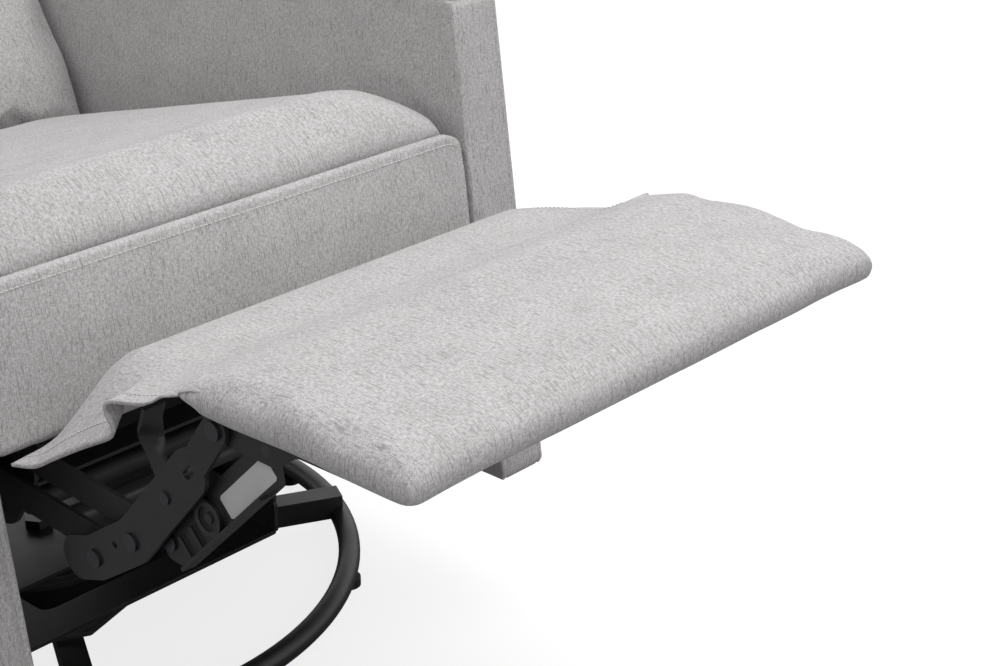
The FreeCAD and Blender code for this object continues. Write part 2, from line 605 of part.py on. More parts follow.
def strap_parts():
    """Twisted strap that holds the flap up: flat on the main link, then turned across it."""
    x0 = layer(4) + STEEL / 2
    h = STRAP_HOLE
    path = [(h[0] + 3, h[1] - 9, 0, 0), (h[0] - 9, h[1] + 12, 0, 0), (h[0] - 16, h[1] + 25, 0, 0)]
    path += [(h[0] - 18, h[1] + 32, 0.2, 20), (h[0] - 17.5, h[1] + 40, 1.8, 50), (h[0] - 15, h[1] + 48, 3.6, 78)]
    path += [(h[0] - 13, h[1] + 54, 4.2, 90), (h[0] - 8.5, h[1] + 66, 4.2, 90)]
    wires = []
    for i, (f, z, out, turn) in enumerate(path):
        q = path[max(0, i - 1)]
        r = path[min(len(path) - 1, i + 1)]
        along = V(0, -(r[0] - q[0]), r[1] - q[1])
        along.normalize()
        across = along.cross(V(1, 0, 0))
        t = math.radians(turn)
        wide = across * math.cos(t) + V(1, 0, 0) * math.sin(t)
        thick = along.cross(wide) * (STRAP_THICK / 2)
        wide = wide * (STRAP_WIDTH / 2)
        c = at(f, z, x0 + out)
        corners = [c - wide - thick, c + wide - thick, c + wide + thick, c - wide + thick]
        wires.append(Part.makePolygon(corners + corners[:1]))
    strap = Part.makeLoft(wires, True, True)
    both("flap_straps", drill(strap, [h], STRAP_RIVET + 0.1))
    x1 = layer(5) + STEEL
    rivet = xpin(h[0], h[1], STRAP_RIVET / 2, x0 - STRAP_THICK, x1 + 1.5)
    rivet = rivet.fuse(xpin(h[0], h[1], STRAP_RIVET, x0 - STRAP_THICK - 0.2, x0 - STRAP_THICK / 2 - SHAFT_CLEARANCE))
    rivet = rivet.fuse(xpin(h[0], h[1], STRAP_RIVET, x1 + SHAFT_CLEARANCE, x1 + 1.6)).removeSplitter()
    both("flap_strap_rivets", rivet)


# Footrest
def pad_side_profile():
    r, t = PAD_REAR_F, PAD_TOP_Z
    under = BOARD_UNDERSIDE
    points = [(r, under + 11), (r + 24, under + 1.5), (PAD_FRONT_F - 12, under + 0.8), (PAD_FRONT_F, under + 6)]
    points += [(PAD_FRONT_F, under + 20), (PAD_FRONT_F - 20, t - 3), (r + 110, t), (r + 46, t - 3)]
    points += [(r + 18, t - 12), (r, under + 15)]
    return points


def footrest_parts():
    w = PAD_HALF_WIDTH
    side = side_prism(pad_side_profile(), [2, 10, 10, 8, 14, 30, 200, 60, 20, 2], -w, w)
    c = PAD_CORNER
    plan = plan_prism([(-w, PAD_REAR_F - 5), (w, PAD_REAR_F - 5), (w, PAD_FRONT_F), (-w, PAD_FRONT_F)],
                      [3, 3, c, c], BOARD_UNDERSIDE - 20, PAD_TOP_Z + 20)
    t = PAD_TOP_Z
    lo = BOARD_UNDERSIDE - 3
    crown = [(-w, lo), (w, lo), (w, t - 7), (w - 90, t), (-w + 90, t), (-w, t - 7)]
    front = front_prism(crown, [9, 9, 14, 400, 400, 14], PAD_REAR_F - 10, PAD_FRONT_F + 10)
    pad = side.common(plan).common(front)
    b = BOARD_HALF_WIDTH
    z1 = BOARD_UNDERSIDE + BOARD_THICK
    hollow = plan_prism([(-b - SOFT_GAP, BOARD_REAR_F - SOFT_GAP), (b + SOFT_GAP, BOARD_REAR_F - SOFT_GAP),
                         (b + SOFT_GAP, BOARD_FRONT_F + SOFT_GAP), (-b - SOFT_GAP, BOARD_FRONT_F + SOFT_GAP)],
                        8.0, BOARD_UNDERSIDE - 20, z1 + SOFT_GAP)
    save("footrest_pad", pad.cut(hollow))
    board = plan_prism([(-b, BOARD_REAR_F), (b, BOARD_REAR_F), (b, BOARD_FRONT_F), (-b, BOARD_FRONT_F)],
                       8.0, BOARD_UNDERSIDE, z1)
    save("footrest_board", board)

    x0 = layer(4)
    zt = BOARD_UNDERSIDE
    zb = PIVOT_C[1] - BRACKET_DROP
    web = [(PIVOT_C[0] - 13, zt), (PIVOT_C[0] - 13, PIVOT_C[1] - 8), (PIVOT_C[0] - 4, zb)]
    web += [(PIVOT_G[0] + 9, zb), (PIVOT_G[0] + 30, zt - 9), (BRACKET_FRONT_F, zt - 8), (BRACKET_FRONT_F, zt)]
    bracket = side_prism(web, [1, 8, 10, 10, 12, 5, 1], x0, x0 + STEEL)
    flange = box(x0 - BRACKET_FLANGE, x0 + STEEL, PIVOT_G[0] + 24, BRACKET_FRONT_F, zt - 3, zt)
    bracket = bracket.fuse(flange).removeSplitter()
    bracket = drill(bracket, [PIVOT_C, PIVOT_G], RIVET_HOLE)
    screws = []
    for f in (PIVOT_G[0] + 40, BRACKET_FRONT_F - 18):
        xs = x0 - BRACKET_FLANGE / 2
        bracket = bracket.cut(Part.makeCylinder(3.05, 8, at(f, zt - 5, xs)))
        screw = Part.makeCylinder(6.0, 3.0, at(f, zt - 6.0, xs)).fuse(Part.makeCylinder(3.0, 3.0, at(f, zt - 3.0, xs)))
        screws.append(screw.removeSplitter())
    both("footrest_brackets", bracket)
    both("footrest_screws", *screws)
    bumper = []
    for sx in (-1, 1):
        f = BRACKET_FRONT_F - 44
        xs = sx * (x0 - 42)
        cone = Part.makeCone(BUMPER_DIAMETER / 2 - 1.5, BUMPER_DIAMETER / 2, BUMPER_HEIGHT, at(f, zt - BUMPER_HEIGHT, xs))
        bumper.append(cone)
    save("footrest_bumpers", *bumper)

    h = BLOCK_LENGTH / 2
    f1 = PAD_FRONT_F - 14
    zb = BOARD_UNDERSIDE - SOFT_GAP
    block = plan_prism([(BLOCK_X - h, f1 - BLOCK_DEPTH), (BLOCK_X + h, f1 - BLOCK_DEPTH),
                        (BLOCK_X + h, f1), (BLOCK_X - h, f1)], 4.0, zb - BLOCK_HEIGHT, zb)
    save("footrest_block", block)

    line = [(FASCIA_BOTTOM_F + 1.3, FASCIA_BOTTOM_Z + 2.6), (396, 395), (426, 434), (449, 447.5), (478, 441)]
    line += [(516, 449), (543, 467), (PAD_REAR_F - 1.2, BOARD_UNDERSIDE + 13.3)]
    left, right = [], []
    h = FLAP_THICK / 2
    for i, p in enumerate(line):
        q = line[max(0, i - 1)]
        r = line[min(len(line) - 1, i + 1)]
        d = V(r[0] - q[0], r[1] - q[1], 0)
        d.normalize()
        left.append((p[0] - d.y * h, p[1] + d.x * h))
        right.append((p[0] + d.y * h, p[1] - d.x * h))
    radii = [0.6] + [16] * (len(line) - 2) + [0.6]
    flap = side_prism(left + right[::-1], radii + radii[::-1], -PAD_HALF_WIDTH, PAD_HALF_WIDTH)
    save("footrest_flap", flap)


# Seat
def seat_parts():
    w = SEAT_HALF_WIDTH
    r, n = SEAT_REAR_F, SEAT_NOSE_F
    top = lambda f: seat_top(f) + SEAT_CROWN
    under = seat_underside
    rear_dip = 6.0
    outline = [(r, under(r)), (n - FASCIA_THICK - 4, under(n - FASCIA_THICK - 4)), (n - FASCIA_THICK + 4, FASCIA_TOP_Z - 16)]
    outline += [(n - 4, FASCIA_TOP_Z + 1), (n - 12, FASCIA_TOP_Z + 16), (n - 46, top(n - 72)), (n - 90, top(n - 90) + 1)]
    outline += [(0, top(0) - 2), (r + 40, top(r + 40) - rear_dip), (r, top(r) - 24)]
    cushion = side_prism(outline, [14, 6, 8, 5, 16, 46, 90, 300, 60, 14], -w, w)
    run = n - r + 60
    rise = run * math.tan(math.radians(SEAT_PITCH))
    z0 = seat_top(r - 30)
    low = z0 - SEAT_THICK - 60
    crown = [(-w, low), (w, low), (w, z0 + 4), (w - 70, z0 + SEAT_CROWN), (0, z0 + SEAT_CROWN + 3)]
    crown += [(-w + 70, z0 + SEAT_CROWN), (-w, z0 + 4)]
    front = front_prism(crown, [8, 8, 16, 260, 400, 260, 16], r - 30, r - 30 + run, rise)
    save("seat_cushion", cushion.common(front))

    t = FASCIA_THICK
    fascia = [(FASCIA_BOTTOM_F, FASCIA_BOTTOM_Z), (FASCIA_TOP_F + 3, FASCIA_TOP_Z - 24), (FASCIA_TOP_F - 2, FASCIA_TOP_Z)]
    inner = n - t - SEAT_RAIL_SETBACK + 1
    fascia += [(inner, FASCIA_TOP_Z - 16.5), (inner, under(n - t) - 12), (FASCIA_BOTTOM_F - t, FASCIA_BOTTOM_Z)]
    panel = side_prism(fascia, [7, 60, 3, 2, 1, 5], -w, w)
    ends = front_prism([(-w, FASCIA_BOTTOM_Z - 5), (w, FASCIA_BOTTOM_Z - 5), (w, FASCIA_TOP_Z + 5), (-w, FASCIA_TOP_Z + 5)],
                       6.0, n - 60, n + 60)
    panel = panel.common(ends)
    grown = cushion.copy()
    grown = grown.fuse(grown.translated(V(0, -SOFT_GAP, -SOFT_GAP)))
    panel = panel.cut(grown)
    save("seat_fascia", sorted(panel.Solids, key=lambda s: s.Volume)[-1])

    x0, x1 = SEAT_RAIL_X
    gap = SEAT_DECK_GAP
    fr, ff = r + 6, n - t - SEAT_RAIL_SETBACK
    side = [(fr, under(fr) - gap - SEAT_RAIL_HEIGHT), (ff, under(ff) - gap - SEAT_RAIL_HEIGHT)]
    side += [(ff, under(ff) - gap), (fr, under(fr) - gap)]
    both("seat_side_rails", side_prism(side, 2.0, x0, x1))
    cross = []
    for f in (ff - SEAT_CROSS_RAIL, fr):
        f2 = f + SEAT_CROSS_RAIL
        rail = [(f, under(f) - gap - SEAT_RAIL_HEIGHT), (f2, under(f2) - gap - SEAT_RAIL_HEIGHT)]
        rail += [(f2, under(f2) - gap), (f, under(f) - gap)]
        cross.append(side_prism(rail, 2.0, -x0 + BUTT_GAP, x0 - BUTT_GAP))
    save("seat_cross_rails", *cross)
    bands = []
    zt = under(fr) - SOFT_GAP
    length = ff - fr
    for i in range(5):
        c = (i - 2) * (x0 - WEBBING_WIDTH / 2 - WEBBING_MARGIN) / 2
        band = box(c - WEBBING_WIDTH / 2, c + WEBBING_WIDTH / 2, 0, length / math.cos(math.radians(SEAT_PITCH)),
                   -WEBBING_THICK, 0)
        band.rotate(V(0, 0, 0), V(1, 0, 0), -SEAT_PITCH)
        band.translate(at(fr, zt))
        bands.append(band)
    save("seat_webbing", *bands)


# Arms
def arm_front(z):
    return ARM_FRONT_F - ARM_FRONT_LEAN * (z - ARM_FRONT_REF_Z)


def arm_parts():
    x0, x1 = ARM_INNER_X, ARM_INNER_X + ARM_WIDTH
    zb, zt = ARM_BOTTOM_Z, ARM_TOP_Z
    outline = [(ARM_REAR_F, zb), (arm_front(zb), zb), (arm_front(zt), zt), (ARM_REAR_F - 12, zt)]
    outer = side_prism(outline, [8, 8, 3, 3], x0, x1)
    plan = plan_prism([(x0, ARM_REAR_F - 20), (x1, ARM_REAR_F - 20), (x1, arm_front(zb) + 5), (x0, arm_front(zb) + 5)],
                      [4, 4, 4, 4], zb - 5, zt + 5)
    outer = outer.common(plan)
    c = ARM_COVER
    cavity = [(ARM_REAR_F + c, zb - 1), (arm_front(zb) - c, zb - 1), (arm_front(zt) - c, zt - c), (ARM_REAR_F + c - 12, zt - c)]
    cover = outer.cut(side_prism(cavity, 0.0, x0 + c, x1 - c))
    g = SOFT_GAP
    board = [(ARM_REAR_F + c + g, zb + 2), (arm_front(zb + 2) - c - g, zb + 2)]
    board += [(arm_front(zt) - c - g, zt - c - g), (ARM_REAR_F + c + g - 12, zt - c - g)]
    core = side_prism(board, 0.0, x0 + c + g, x1 - c - g)
    m = ARM_BOARD_WINDOW
    mid = 20.0
    for fa, fb in ((ARM_REAR_F + m, mid - m / 2), (mid + m / 2, arm_front(zt) - m)):
        window = [(fa, zb + m), (fb, zb + m), (fb, zt - m), (fa, zt - m)]
        core = core.cut(side_prism(window, 20.0, x0, x1))
    bottom = zt + SOFT_GAP
    top = zt + ARM_PAD_HEIGHT
    pad = [(ARM_REAR_F - 12, bottom), (arm_front(zt), bottom), (arm_front(top) + 2, top - 8), (arm_front(top) - 16, top)]
    pad += [(ARM_REAR_F + 10, top), (ARM_REAR_F - 13, top - 12)]
    pad = side_prism(pad, [3, 5, 10, 20, 24, 10], x0, x1)
    end = front_prism([(x0, bottom), (x1, bottom), (x1, top - 9), (x1 - 14, top), (x0 + 14, top), (x0, top - 9)],
                      [3, 3, 10, 30, 30, 10], ARM_REAR_F - 40, arm_front(zb))
    pad = pad.common(end)
    save("arm_cover_left", cover)
    save("arm_pad_left", pad)
    p = LEVER_PIVOT
    save("arm_cover_right", drill(mirrored(cover), [p], LEVER_SHAFT + 2))
    save("arm_boards", core, drill(mirrored(core), [p], LEVER_SHAFT + 6))
    save("arm_pad_right", mirrored(pad))


# Back
def back_point(s, d):
    t = math.radians(BACK_TILT)
    return (BACK_CREASE[0] - s * math.sin(t) - d * math.cos(t), BACK_CREASE[1] + s * math.cos(t) - d * math.sin(t))


def back_profile(points, radius, x0, x1):
    return side_prism([back_point(s, d) for s, d in points], radius, x0, x1)


def back_slab(half_width, s0, s1, corner):
    """Prism through the whole depth of the back, cut to an outline seen from the front."""
    n = V(0, math.cos(math.radians(BACK_TILT)), -math.sin(math.radians(BACK_TILT)))
    pts = [(-half_width, s0), (half_width, s0), (half_width, s1), (-half_width, s1)]
    def place(p):
        q = back_point(p.y, -80.0)
        return V(p.x, -q[0], q[1])
    wire = rounded_wire(pts, corner, place)
    return Part.Face(wire).extrude(n * 260.0)


def back_parts():
    w = SEAT_HALF_WIDTH
    wing = BACK_WING_HALF_WIDTH
    length = BACK_LENGTH
    lower = back_slab(w, -5, BACK_WING_START + 60, [6, 6, 0, 0])
    upper = back_slab(wing, BACK_WING_START, length, [26, 26, 60, 60])
    outline = lower.fuse(upper).removeSplitter()
    b = BACK_BULGE
    c = BACK_CUSHION
    g = SOFT_GAP
    m0, m1 = BACK_LUMBAR_TOP, BACK_MIDDLE_TOP
    lumbar = [(0, c), (0, 6), (16, -b * 0.5), (90, -b), (m0 - 76, -b), (m0 - 14, -b * 0.35), (m0, 4)]
    lumbar += [(m0, c)]
    low = back_profile(lumbar, [3, 8, 30, 60, 60, 20, 6, 0], -w, w)
    low = low.common(outline)
    mid = [(m0 + 2 * g, c), (m0 + 2 * g, 4), (m0 + 16, -b * 0.5), (m0 + 84, -b * 1.1), (m1 - 66, -b)]
    mid += [(m1 - 12, -b * 0.3), (m1, 5), (m1, c)]
    middle = back_profile(mid, [0, 6, 24, 60, 60, 20, 6, 0], -wing, wing).common(outline)
    head = [(m1 + 2 * g, c), (m1 + 2 * g, 5), (m1 + 16, -b * 0.6), (m1 + 86, -b * 1.3), (length - 60, -b)]
    head += [(length - 16, -b * 0.2), (length, 22), (length, c)]
    head_shape = back_profile(head, [0, 6, 24, 60, 60, 24, 20, 0], -wing, wing).common(outline)
    save("back_cushion_lumbar", low)
    save("back_cushion_middle", middle)
    save("back_cushion_head", head_shape)

    d0 = c + g
    d1 = c + BACK_SHELL_DEPTH
    slab = back_profile([(0, d0), (length, d0), (length, d1 - 14), (length - 14, d1), (30, d1), (0, d1 - 8)],
                        [0, 0, 10, 10, 20, 6], -wing, wing).common(outline)
    t = BACK_SHELL
    inner_low = back_slab(w - t, -40, BACK_WING_START + 40, 0.0)
    inner_up = back_slab(wing - t, BACK_WING_START + t, length - t, [14, 14, 48, 48])
    cavity = back_profile([(-40, d0 - 20), (length, d0 - 20), (length, d1 - t), (-40, d1 - t)], 0.0, -wing, wing)
    cavity = cavity.common(inner_low.fuse(inner_up).removeSplitter())
    shell = slab.cut(cavity)
    save("back_shell", sorted(shell.Solids, key=lambda s: s.Volume)[-1])

    x1 = layer(1) - LAYER_GAP
    x0 = x1 - BACK_POST_WIDTH
    p0 = d0 + g
    p1 = p0 + BACK_POST_DEPTH
    post = back_profile([(14, p0), (length - 20, p0), (length - 20, p1), (14, p1)], 3.0, x0, x1)
    posts = [post, mirrored(post)]
    frame = posts[0]
    for s in (24.0, 300.0, length - 60):
        cross = back_profile([(s, p0), (s + 40, p0), (s + 40, p1), (s, p1)], 2.0, -x0 - 1, x0 + 1)
        frame = frame.fuse(cross)
    frame = frame.fuse(posts[1]).removeSplitter()
    save("back_frame", frame)

    mid_d = (p0 + p1) / 2
    a0 = layer(1)
    arm = bar([BACK_PIVOT, back_point(46, mid_d), back_point(BACK_ARM_LENGTH, mid_d)], BACK_ARM_WIDTH - 2, a0, STEEL)
    arm = drill(arm, [BACK_PIVOT], GLIDE_PIN + 2 * SHAFT_CLEARANCE)
    both("back_brackets", arm)
    x_in = SIDE_PLATE_X - SIDE_CLEARANCE - 4
    x_out = a0 + STEEL + SIDE_CLEARANCE + 4
    pin = xpin(BACK_PIVOT[0], BACK_PIVOT[1], GLIDE_PIN / 2, x_in, x_out)
    pin = pin.fuse(xpin(BACK_PIVOT[0], BACK_PIVOT[1], 10.0, x_in, x_in + 4))
    pin = pin.fuse(xpin(BACK_PIVOT[0], BACK_PIVOT[1], 10.0, x_out - 4, x_out)).removeSplitter()
    both("back_pivot_pins", pin)


# Release lever
def lever_parts():
    f, z = LEVER_PIVOT
    x = -(ARM_INNER_X + ARM_WIDTH) - SOFT_GAP
    bezel = xpin(f, z, LEVER_BEZEL / 2, x - LEVER_BEZEL_THICK, x)
    bezel = bezel.cut(xpin(f, z, LEVER_SHAFT / 2 + SHAFT_CLEARANCE, x - 10, x + 2))
    save("lever_bezel", bezel)
    h0 = x - LEVER_BEZEL_THICK - SOFT_GAP
    shaft = xpin(f, z, LEVER_SHAFT / 2, h0, -ARM_INNER_X - 2)
    save("lever_shaft", shaft)
    outline = [(f - 20, z + 16), (f - 16, z - 18), (f + 14, z - 22), (f + 40, z - 16)]
    outline += [(f + LEVER_LENGTH - 10, z - 34), (f + LEVER_LENGTH, z - 22), (f + LEVER_LENGTH - 6, z - 6), (f + 44, z + 14), (f + 12, z + 24)]
    handle = side_prism(outline, [16, 16, 16, 30, 8, 8, 10, 30, 18], h0 - LEVER_THICK, h0 - BUTT_GAP)
    save("lever_handle", handle)


base_parts()
swivel_parts()
glide_parts()
frame_parts()
linkage_parts()
strap_parts()
footrest_parts()
seat_parts()
arm_parts()
back_parts()
lever_parts()
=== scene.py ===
"""Swivel glider recliner: the cloth, foam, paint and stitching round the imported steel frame.

Metres. The chair faces -Y, +X is the sitter's left and +Z is up. In side views "f" is the
forward distance, so y = -f. Laid out as an add-on: settings, one operator for each piece or
group of like pieces, one for the stage, and a panel that lists them.
"""
import json
import math

import bpy
import numpy as np
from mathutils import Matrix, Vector


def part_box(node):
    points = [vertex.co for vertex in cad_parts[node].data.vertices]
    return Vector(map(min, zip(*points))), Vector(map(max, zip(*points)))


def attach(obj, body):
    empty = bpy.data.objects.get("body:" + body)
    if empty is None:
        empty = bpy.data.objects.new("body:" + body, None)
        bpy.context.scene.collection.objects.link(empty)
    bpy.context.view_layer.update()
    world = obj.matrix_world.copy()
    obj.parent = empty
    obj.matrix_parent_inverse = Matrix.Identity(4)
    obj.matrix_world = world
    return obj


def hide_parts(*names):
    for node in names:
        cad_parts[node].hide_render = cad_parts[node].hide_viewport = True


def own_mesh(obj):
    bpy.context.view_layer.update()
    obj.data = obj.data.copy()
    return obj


bl_info = {
    "name": "Swivel glider recliner",
    "version": (1, 0, 0),
    "blender": (4, 5, 0),
    "location": "View3D > Sidebar > Recliner",
    "description": "Dresses a swivel glider recliner in heathered cloth and black painted steel",
    "category": "Object",
}

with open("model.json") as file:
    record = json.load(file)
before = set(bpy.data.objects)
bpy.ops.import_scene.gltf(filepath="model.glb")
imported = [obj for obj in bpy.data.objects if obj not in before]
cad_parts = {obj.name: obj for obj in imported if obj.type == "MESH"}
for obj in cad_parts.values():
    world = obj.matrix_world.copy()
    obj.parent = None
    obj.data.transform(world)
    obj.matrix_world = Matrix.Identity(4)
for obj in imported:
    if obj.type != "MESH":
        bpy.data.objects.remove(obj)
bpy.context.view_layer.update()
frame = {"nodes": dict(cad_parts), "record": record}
MM = 0.001


def linear(code):
    """The linear colour of an sRGB hex code, by the sRGB curve."""
    values = np.array([int(code[i:i + 2], 16) for i in (1, 3, 5)]) / 255.0
    curve = np.where(values <= 0.04045, values / 12.92, ((values + 0.055) / 1.055) ** 2.4)
    return tuple(float(v) for v in curve)


def size_of(name, text, default, smallest=0.0, largest=2.0):
    """A length setting, in metres."""
    return bpy.props.FloatProperty(
        name=name, description=text, default=default, min=smallest, max=largest,
        subtype="DISTANCE", unit="LENGTH", precision=4,
    )


def colour_of(name, text, code):
    """A colour setting, given as sRGB and kept as linear."""
    return bpy.props.FloatVectorProperty(
        name=name, description=text, default=linear(code), min=0.0, max=1.0,
        size=3, subtype="COLOR",
    )


def number_of(name, text, default, smallest=0.0, largest=1000.0):
    """A plain number."""
    return bpy.props.FloatProperty(
        name=name, description=text, default=default, min=smallest, max=largest,
    )


def share_of(name, text, default, smallest=0.0, largest=1.0):
    """A factor with a slider."""
    return bpy.props.FloatProperty(
        name=name, description=text, default=default, min=smallest, max=largest,
        subtype="FACTOR",
    )


class ClothSettings(bpy.types.PropertyGroup):
    """Colours and thread sizes of the woven cover."""

    light_yarn: colour_of("Light yarn", "The pale yarn of the heathered weave", "#D8D6D6")
    dark_yarn: colour_of("Dark yarn", "The grey yarn of the heathered weave", "#A29E9F")
    slub: colour_of("Slub", "The thick dark yarn that shows now and then", "#8A8586")
    thread: colour_of("Stitching", "The thread of the visible seams", "#DEDCDB")
    lining: colour_of("Lining", "The plain back of the leg flap", "#C9C6C5")
    yarn_width: size_of("Yarn width", "Breadth of one fleck across its yarn", 1.15 * MM)
    yarn_length: size_of("Fleck length", "Length of one fleck along its yarn", 3.8 * MM)
    slub_length: size_of("Slub length", "Length of a thick place in a yarn", 18 * MM)
    weave_pitch: size_of("Weave pitch", "Distance from thread to thread", 1.4 * MM)


class SteelSettings(bpy.types.PropertyGroup):
    """Finish of the painted and plated steel."""

    paint: colour_of("Paint", "Semi-gloss black powder coat", "#262527")
    worn_edge: colour_of("Thin edge", "Powder coat where it lies thin on an edge", "#4A4848")
    plating: colour_of("Plating", "Black zinc on rivets and screws", "#57555A")
    paint_roughness: share_of("Paint roughness", "Roughness of the powder coat", 0.38)


class CushionSettings(bpy.types.PropertyGroup):
    """How the soft pieces swell, and their softness along the edges."""

    voxel: size_of("Mesh size", "Edge length of the even mesh that is blown up", 6.5 * MM)
    pressure: number_of("Pressure", "Inside pressure that swells a cushion", 4.0, 0.0, 20.0)
    frames: bpy.props.IntProperty(
        name="Steps", description="Frames of swelling", default=20, min=2, max=60,
    )
    seat_swell: size_of("Seat swell", "Furthest that the seat's cover may move", 14 * MM)
    back_swell: size_of("Back swell", "Furthest that a back cushion's cover may move", 14 * MM)
    pad_swell: size_of("Footrest swell", "Furthest that the footrest pad's cover may move", 5 * MM)
    side_drop: size_of("Seat side drop", "How far the seat's crown falls towards the arms", 24 * MM)


class StitchSettings(bpy.types.PropertyGroup):
    """Size of the stitches."""

    pitch: size_of("Stitch pitch", "Distance from stitch to stitch", 4.6 * MM)
    length: size_of("Stitch length", "Length of one stitch", 3.7 * MM)
    radius: size_of("Thread radius", "Half the thread's thickness", 0.6 * MM)


class StageSettings(bpy.types.PropertyGroup):
    """Floor, lamps and camera."""

    floor_side: size_of("Floor side", "Side of the square floor", 14.0, 1.0, 40.0)
    lens: number_of("Lens", "Focal length on a 36 mm sensor", 69.46, 10.0, 300.0)
    camera_at: bpy.props.FloatVectorProperty(
        name="Camera place", description="Where the camera stands", size=3, subtype="TRANSLATION",
        unit="LENGTH", default=(-0.9365, -1.4785, 1.0072),
    )
    camera_towards: bpy.props.FloatVectorProperty(
        name="Camera direction", description="Where the camera looks", size=3,
        subtype="DIRECTION", default=(0.6767, 0.6179, -0.4003),
    )
    key_power: number_of("Key lamp", "Power of the large lamp overhead, in watts", 35.0)
    front_power: number_of("Front lamp", "Power of the lamp in front, in watts", 6.0)
    fill: share_of("Fill", "Mean strength of the light from above and all round", 0.70, 0.0, 2.0)
    horizon: share_of("Horizon", "Light from the horizon, as a share of the fill", 0.40)
    floor_bounce: share_of("Floor bounce", "Share of the light that the floor throws back", 0.30)
    floor_white: share_of("Floor white", "How far the camera sees the floor lightened", 0.80, 0, 2)


# Mesh helpers


def closed_skin(rings):
    """Vertices and faces of a closed skin over rings of points, (ring, point, xyz).

    Each ring joins the next with quads, and the middle of the first and of the last ring closes
    its end with a fan. The winding is turned where the enclosed volume comes out negative.
    """
    count, around = rings.shape[:2]
    points = np.concatenate([rings.reshape(-1, 3), [rings[0].mean(0), rings[-1].mean(0)]])
    row = np.arange(count - 1)[:, None] * around
    col = np.arange(around)[None, :]
    nxt = (col + 1) % around
    quads = np.stack([row + col, row + nxt, row + around + nxt, row + around + col], -1)
    quads = quads.reshape(-1, 4)
    first, last = count * around, count * around + 1
    one = np.arange(around)
    two = (one + 1) % around
    top = (count - 1) * around
    fans = np.concatenate([
        np.stack([np.full(around, first), two, one], -1),
        np.stack([np.full(around, last), top + one, top + two], -1),
    ])
    a, b, c, d = (points[quads[:, i]] for i in range(4))
    volume = (np.cross(b - a, c - a) * a).sum() + (np.cross(c - a, d - a) * a).sum()
    if volume < 0:
        quads, fans = quads[:, ::-1], fans[:, ::-1]
    return points, quads.tolist() + fans.tolist()


def open_grid(points):
    """Vertices and quads of an open sheet of points, (row, column, xyz)."""
    rows, cols = points.shape[:2]
    row = np.arange(rows - 1)[:, None] * cols
    col = np.arange(cols - 1)[None, :]
    quads = np.stack([row + col, row + col + 1, row + cols + col + 1, row + cols + col], -1)
    return points.reshape(-1, 3), quads.reshape(-1, 4).tolist()


def new_piece(name, points, faces, *materials):
    """A smooth mesh object at the origin with these vertices and faces."""
    mesh = bpy.data.meshes.new(name)
    mesh.from_pydata(np.asarray(points).tolist(), [], faces)
    mesh.polygons.foreach_set("use_smooth", np.ones(len(mesh.polygons), bool))
    for material in materials:
        mesh.materials.append(material)
    mesh.update()
    piece = bpy.data.objects.new(name, mesh)
    bpy.context.scene.collection.objects.link(piece)
    return piece


def read_points(mesh):
    """The vertices of a mesh as an array."""
    flat = np.zeros(len(mesh.vertices) * 3, np.float32)
    mesh.vertices.foreach_get("co", flat)
    return flat.reshape(-1, 3).astype(float)


def write_points(mesh, points):
    """Puts an array of vertices back into a mesh."""
    mesh.vertices.foreach_set("co", np.asarray(points, np.float32).ravel())
    mesh.update()


def bake_modifiers(piece):
    """Replaces a piece's mesh by what its modifiers make of it."""
    graph = bpy.context.evaluated_depsgraph_get()
    made = bpy.data.meshes.new_from_object(piece.evaluated_get(graph))
    piece.modifiers.clear()
    old = piece.data
    piece.data = made
    bpy.data.meshes.remove(old)
    made.name = piece.name
    made.polygons.foreach_set("use_smooth", np.ones(len(made.polygons), bool))


def rounded_outline(corners, radii, spacing=6 * MM, steps=7):
    """A closed outline with rounded corners, as evenly spaced points.

    Each corner is an arc that touches both its sides: the touch points lie radius / tan(half the
    corner's angle) from the corner, and the arc's middle on the line that halves the angle.
    """
    p = np.asarray(corners, float)
    r = np.broadcast_to(np.asarray(radii, float), len(p)).copy()
    back, ahead = np.roll(p, 1, 0) - p, np.roll(p, -1, 0) - p
    long_back, long_ahead = np.linalg.norm(back, axis=1), np.linalg.norm(ahead, axis=1)
    back, ahead = back / long_back[:, None], ahead / long_ahead[:, None]
    half = np.arccos(np.clip((back * ahead).sum(1), -1, 1)) / 2
    half = np.minimum(half, math.radians(89.9))
    reach = np.minimum(r / np.tan(half), 0.47 * np.minimum(long_back, long_ahead))
    r = reach * np.tan(half)
    split = back + ahead
    split = split / np.maximum(np.linalg.norm(split, axis=1), 1e-9)[:, None]
    centre = p + split * (r / np.sin(half))[:, None]
    start, end = p + back * reach[:, None] - centre, p + ahead * reach[:, None] - centre
    t = np.linspace(0, 1, steps)[None, :, None]
    arc = start[:, None] * (1 - t) + end[:, None] * t
    arc = arc / np.maximum(np.linalg.norm(arc, axis=2, keepdims=True), 1e-12)
    dense = (centre[:, None] + arc * r[:, None, None]).reshape(-1, 2)
    return spaced_loop(dense, spacing)


def spaced_loop(outline, spacing):
    """The same closed outline with points at even distances along it."""
    closed = np.concatenate([outline, outline[:1]])
    along = np.concatenate([[0], np.cumsum(np.linalg.norm(np.diff(closed, axis=0), axis=1))])
    count = max(12, int(round(along[-1] / spacing)))
    at = np.linspace(0, along[-1], count, endpoint=False)
    return np.stack([np.interp(at, along, closed[:, i]) for i in range(2)], -1)


def spaced_path(path, count):
    """An open path of any dimension with points at even distances along it."""
    path = np.asarray(path, float)
    along = np.concatenate([[0], np.cumsum(np.linalg.norm(np.diff(path, axis=0), axis=1))])
    at = np.linspace(0, along[-1], count)
    return np.stack([np.interp(at, along, path[:, i]) for i in range(path.shape[1])], -1)


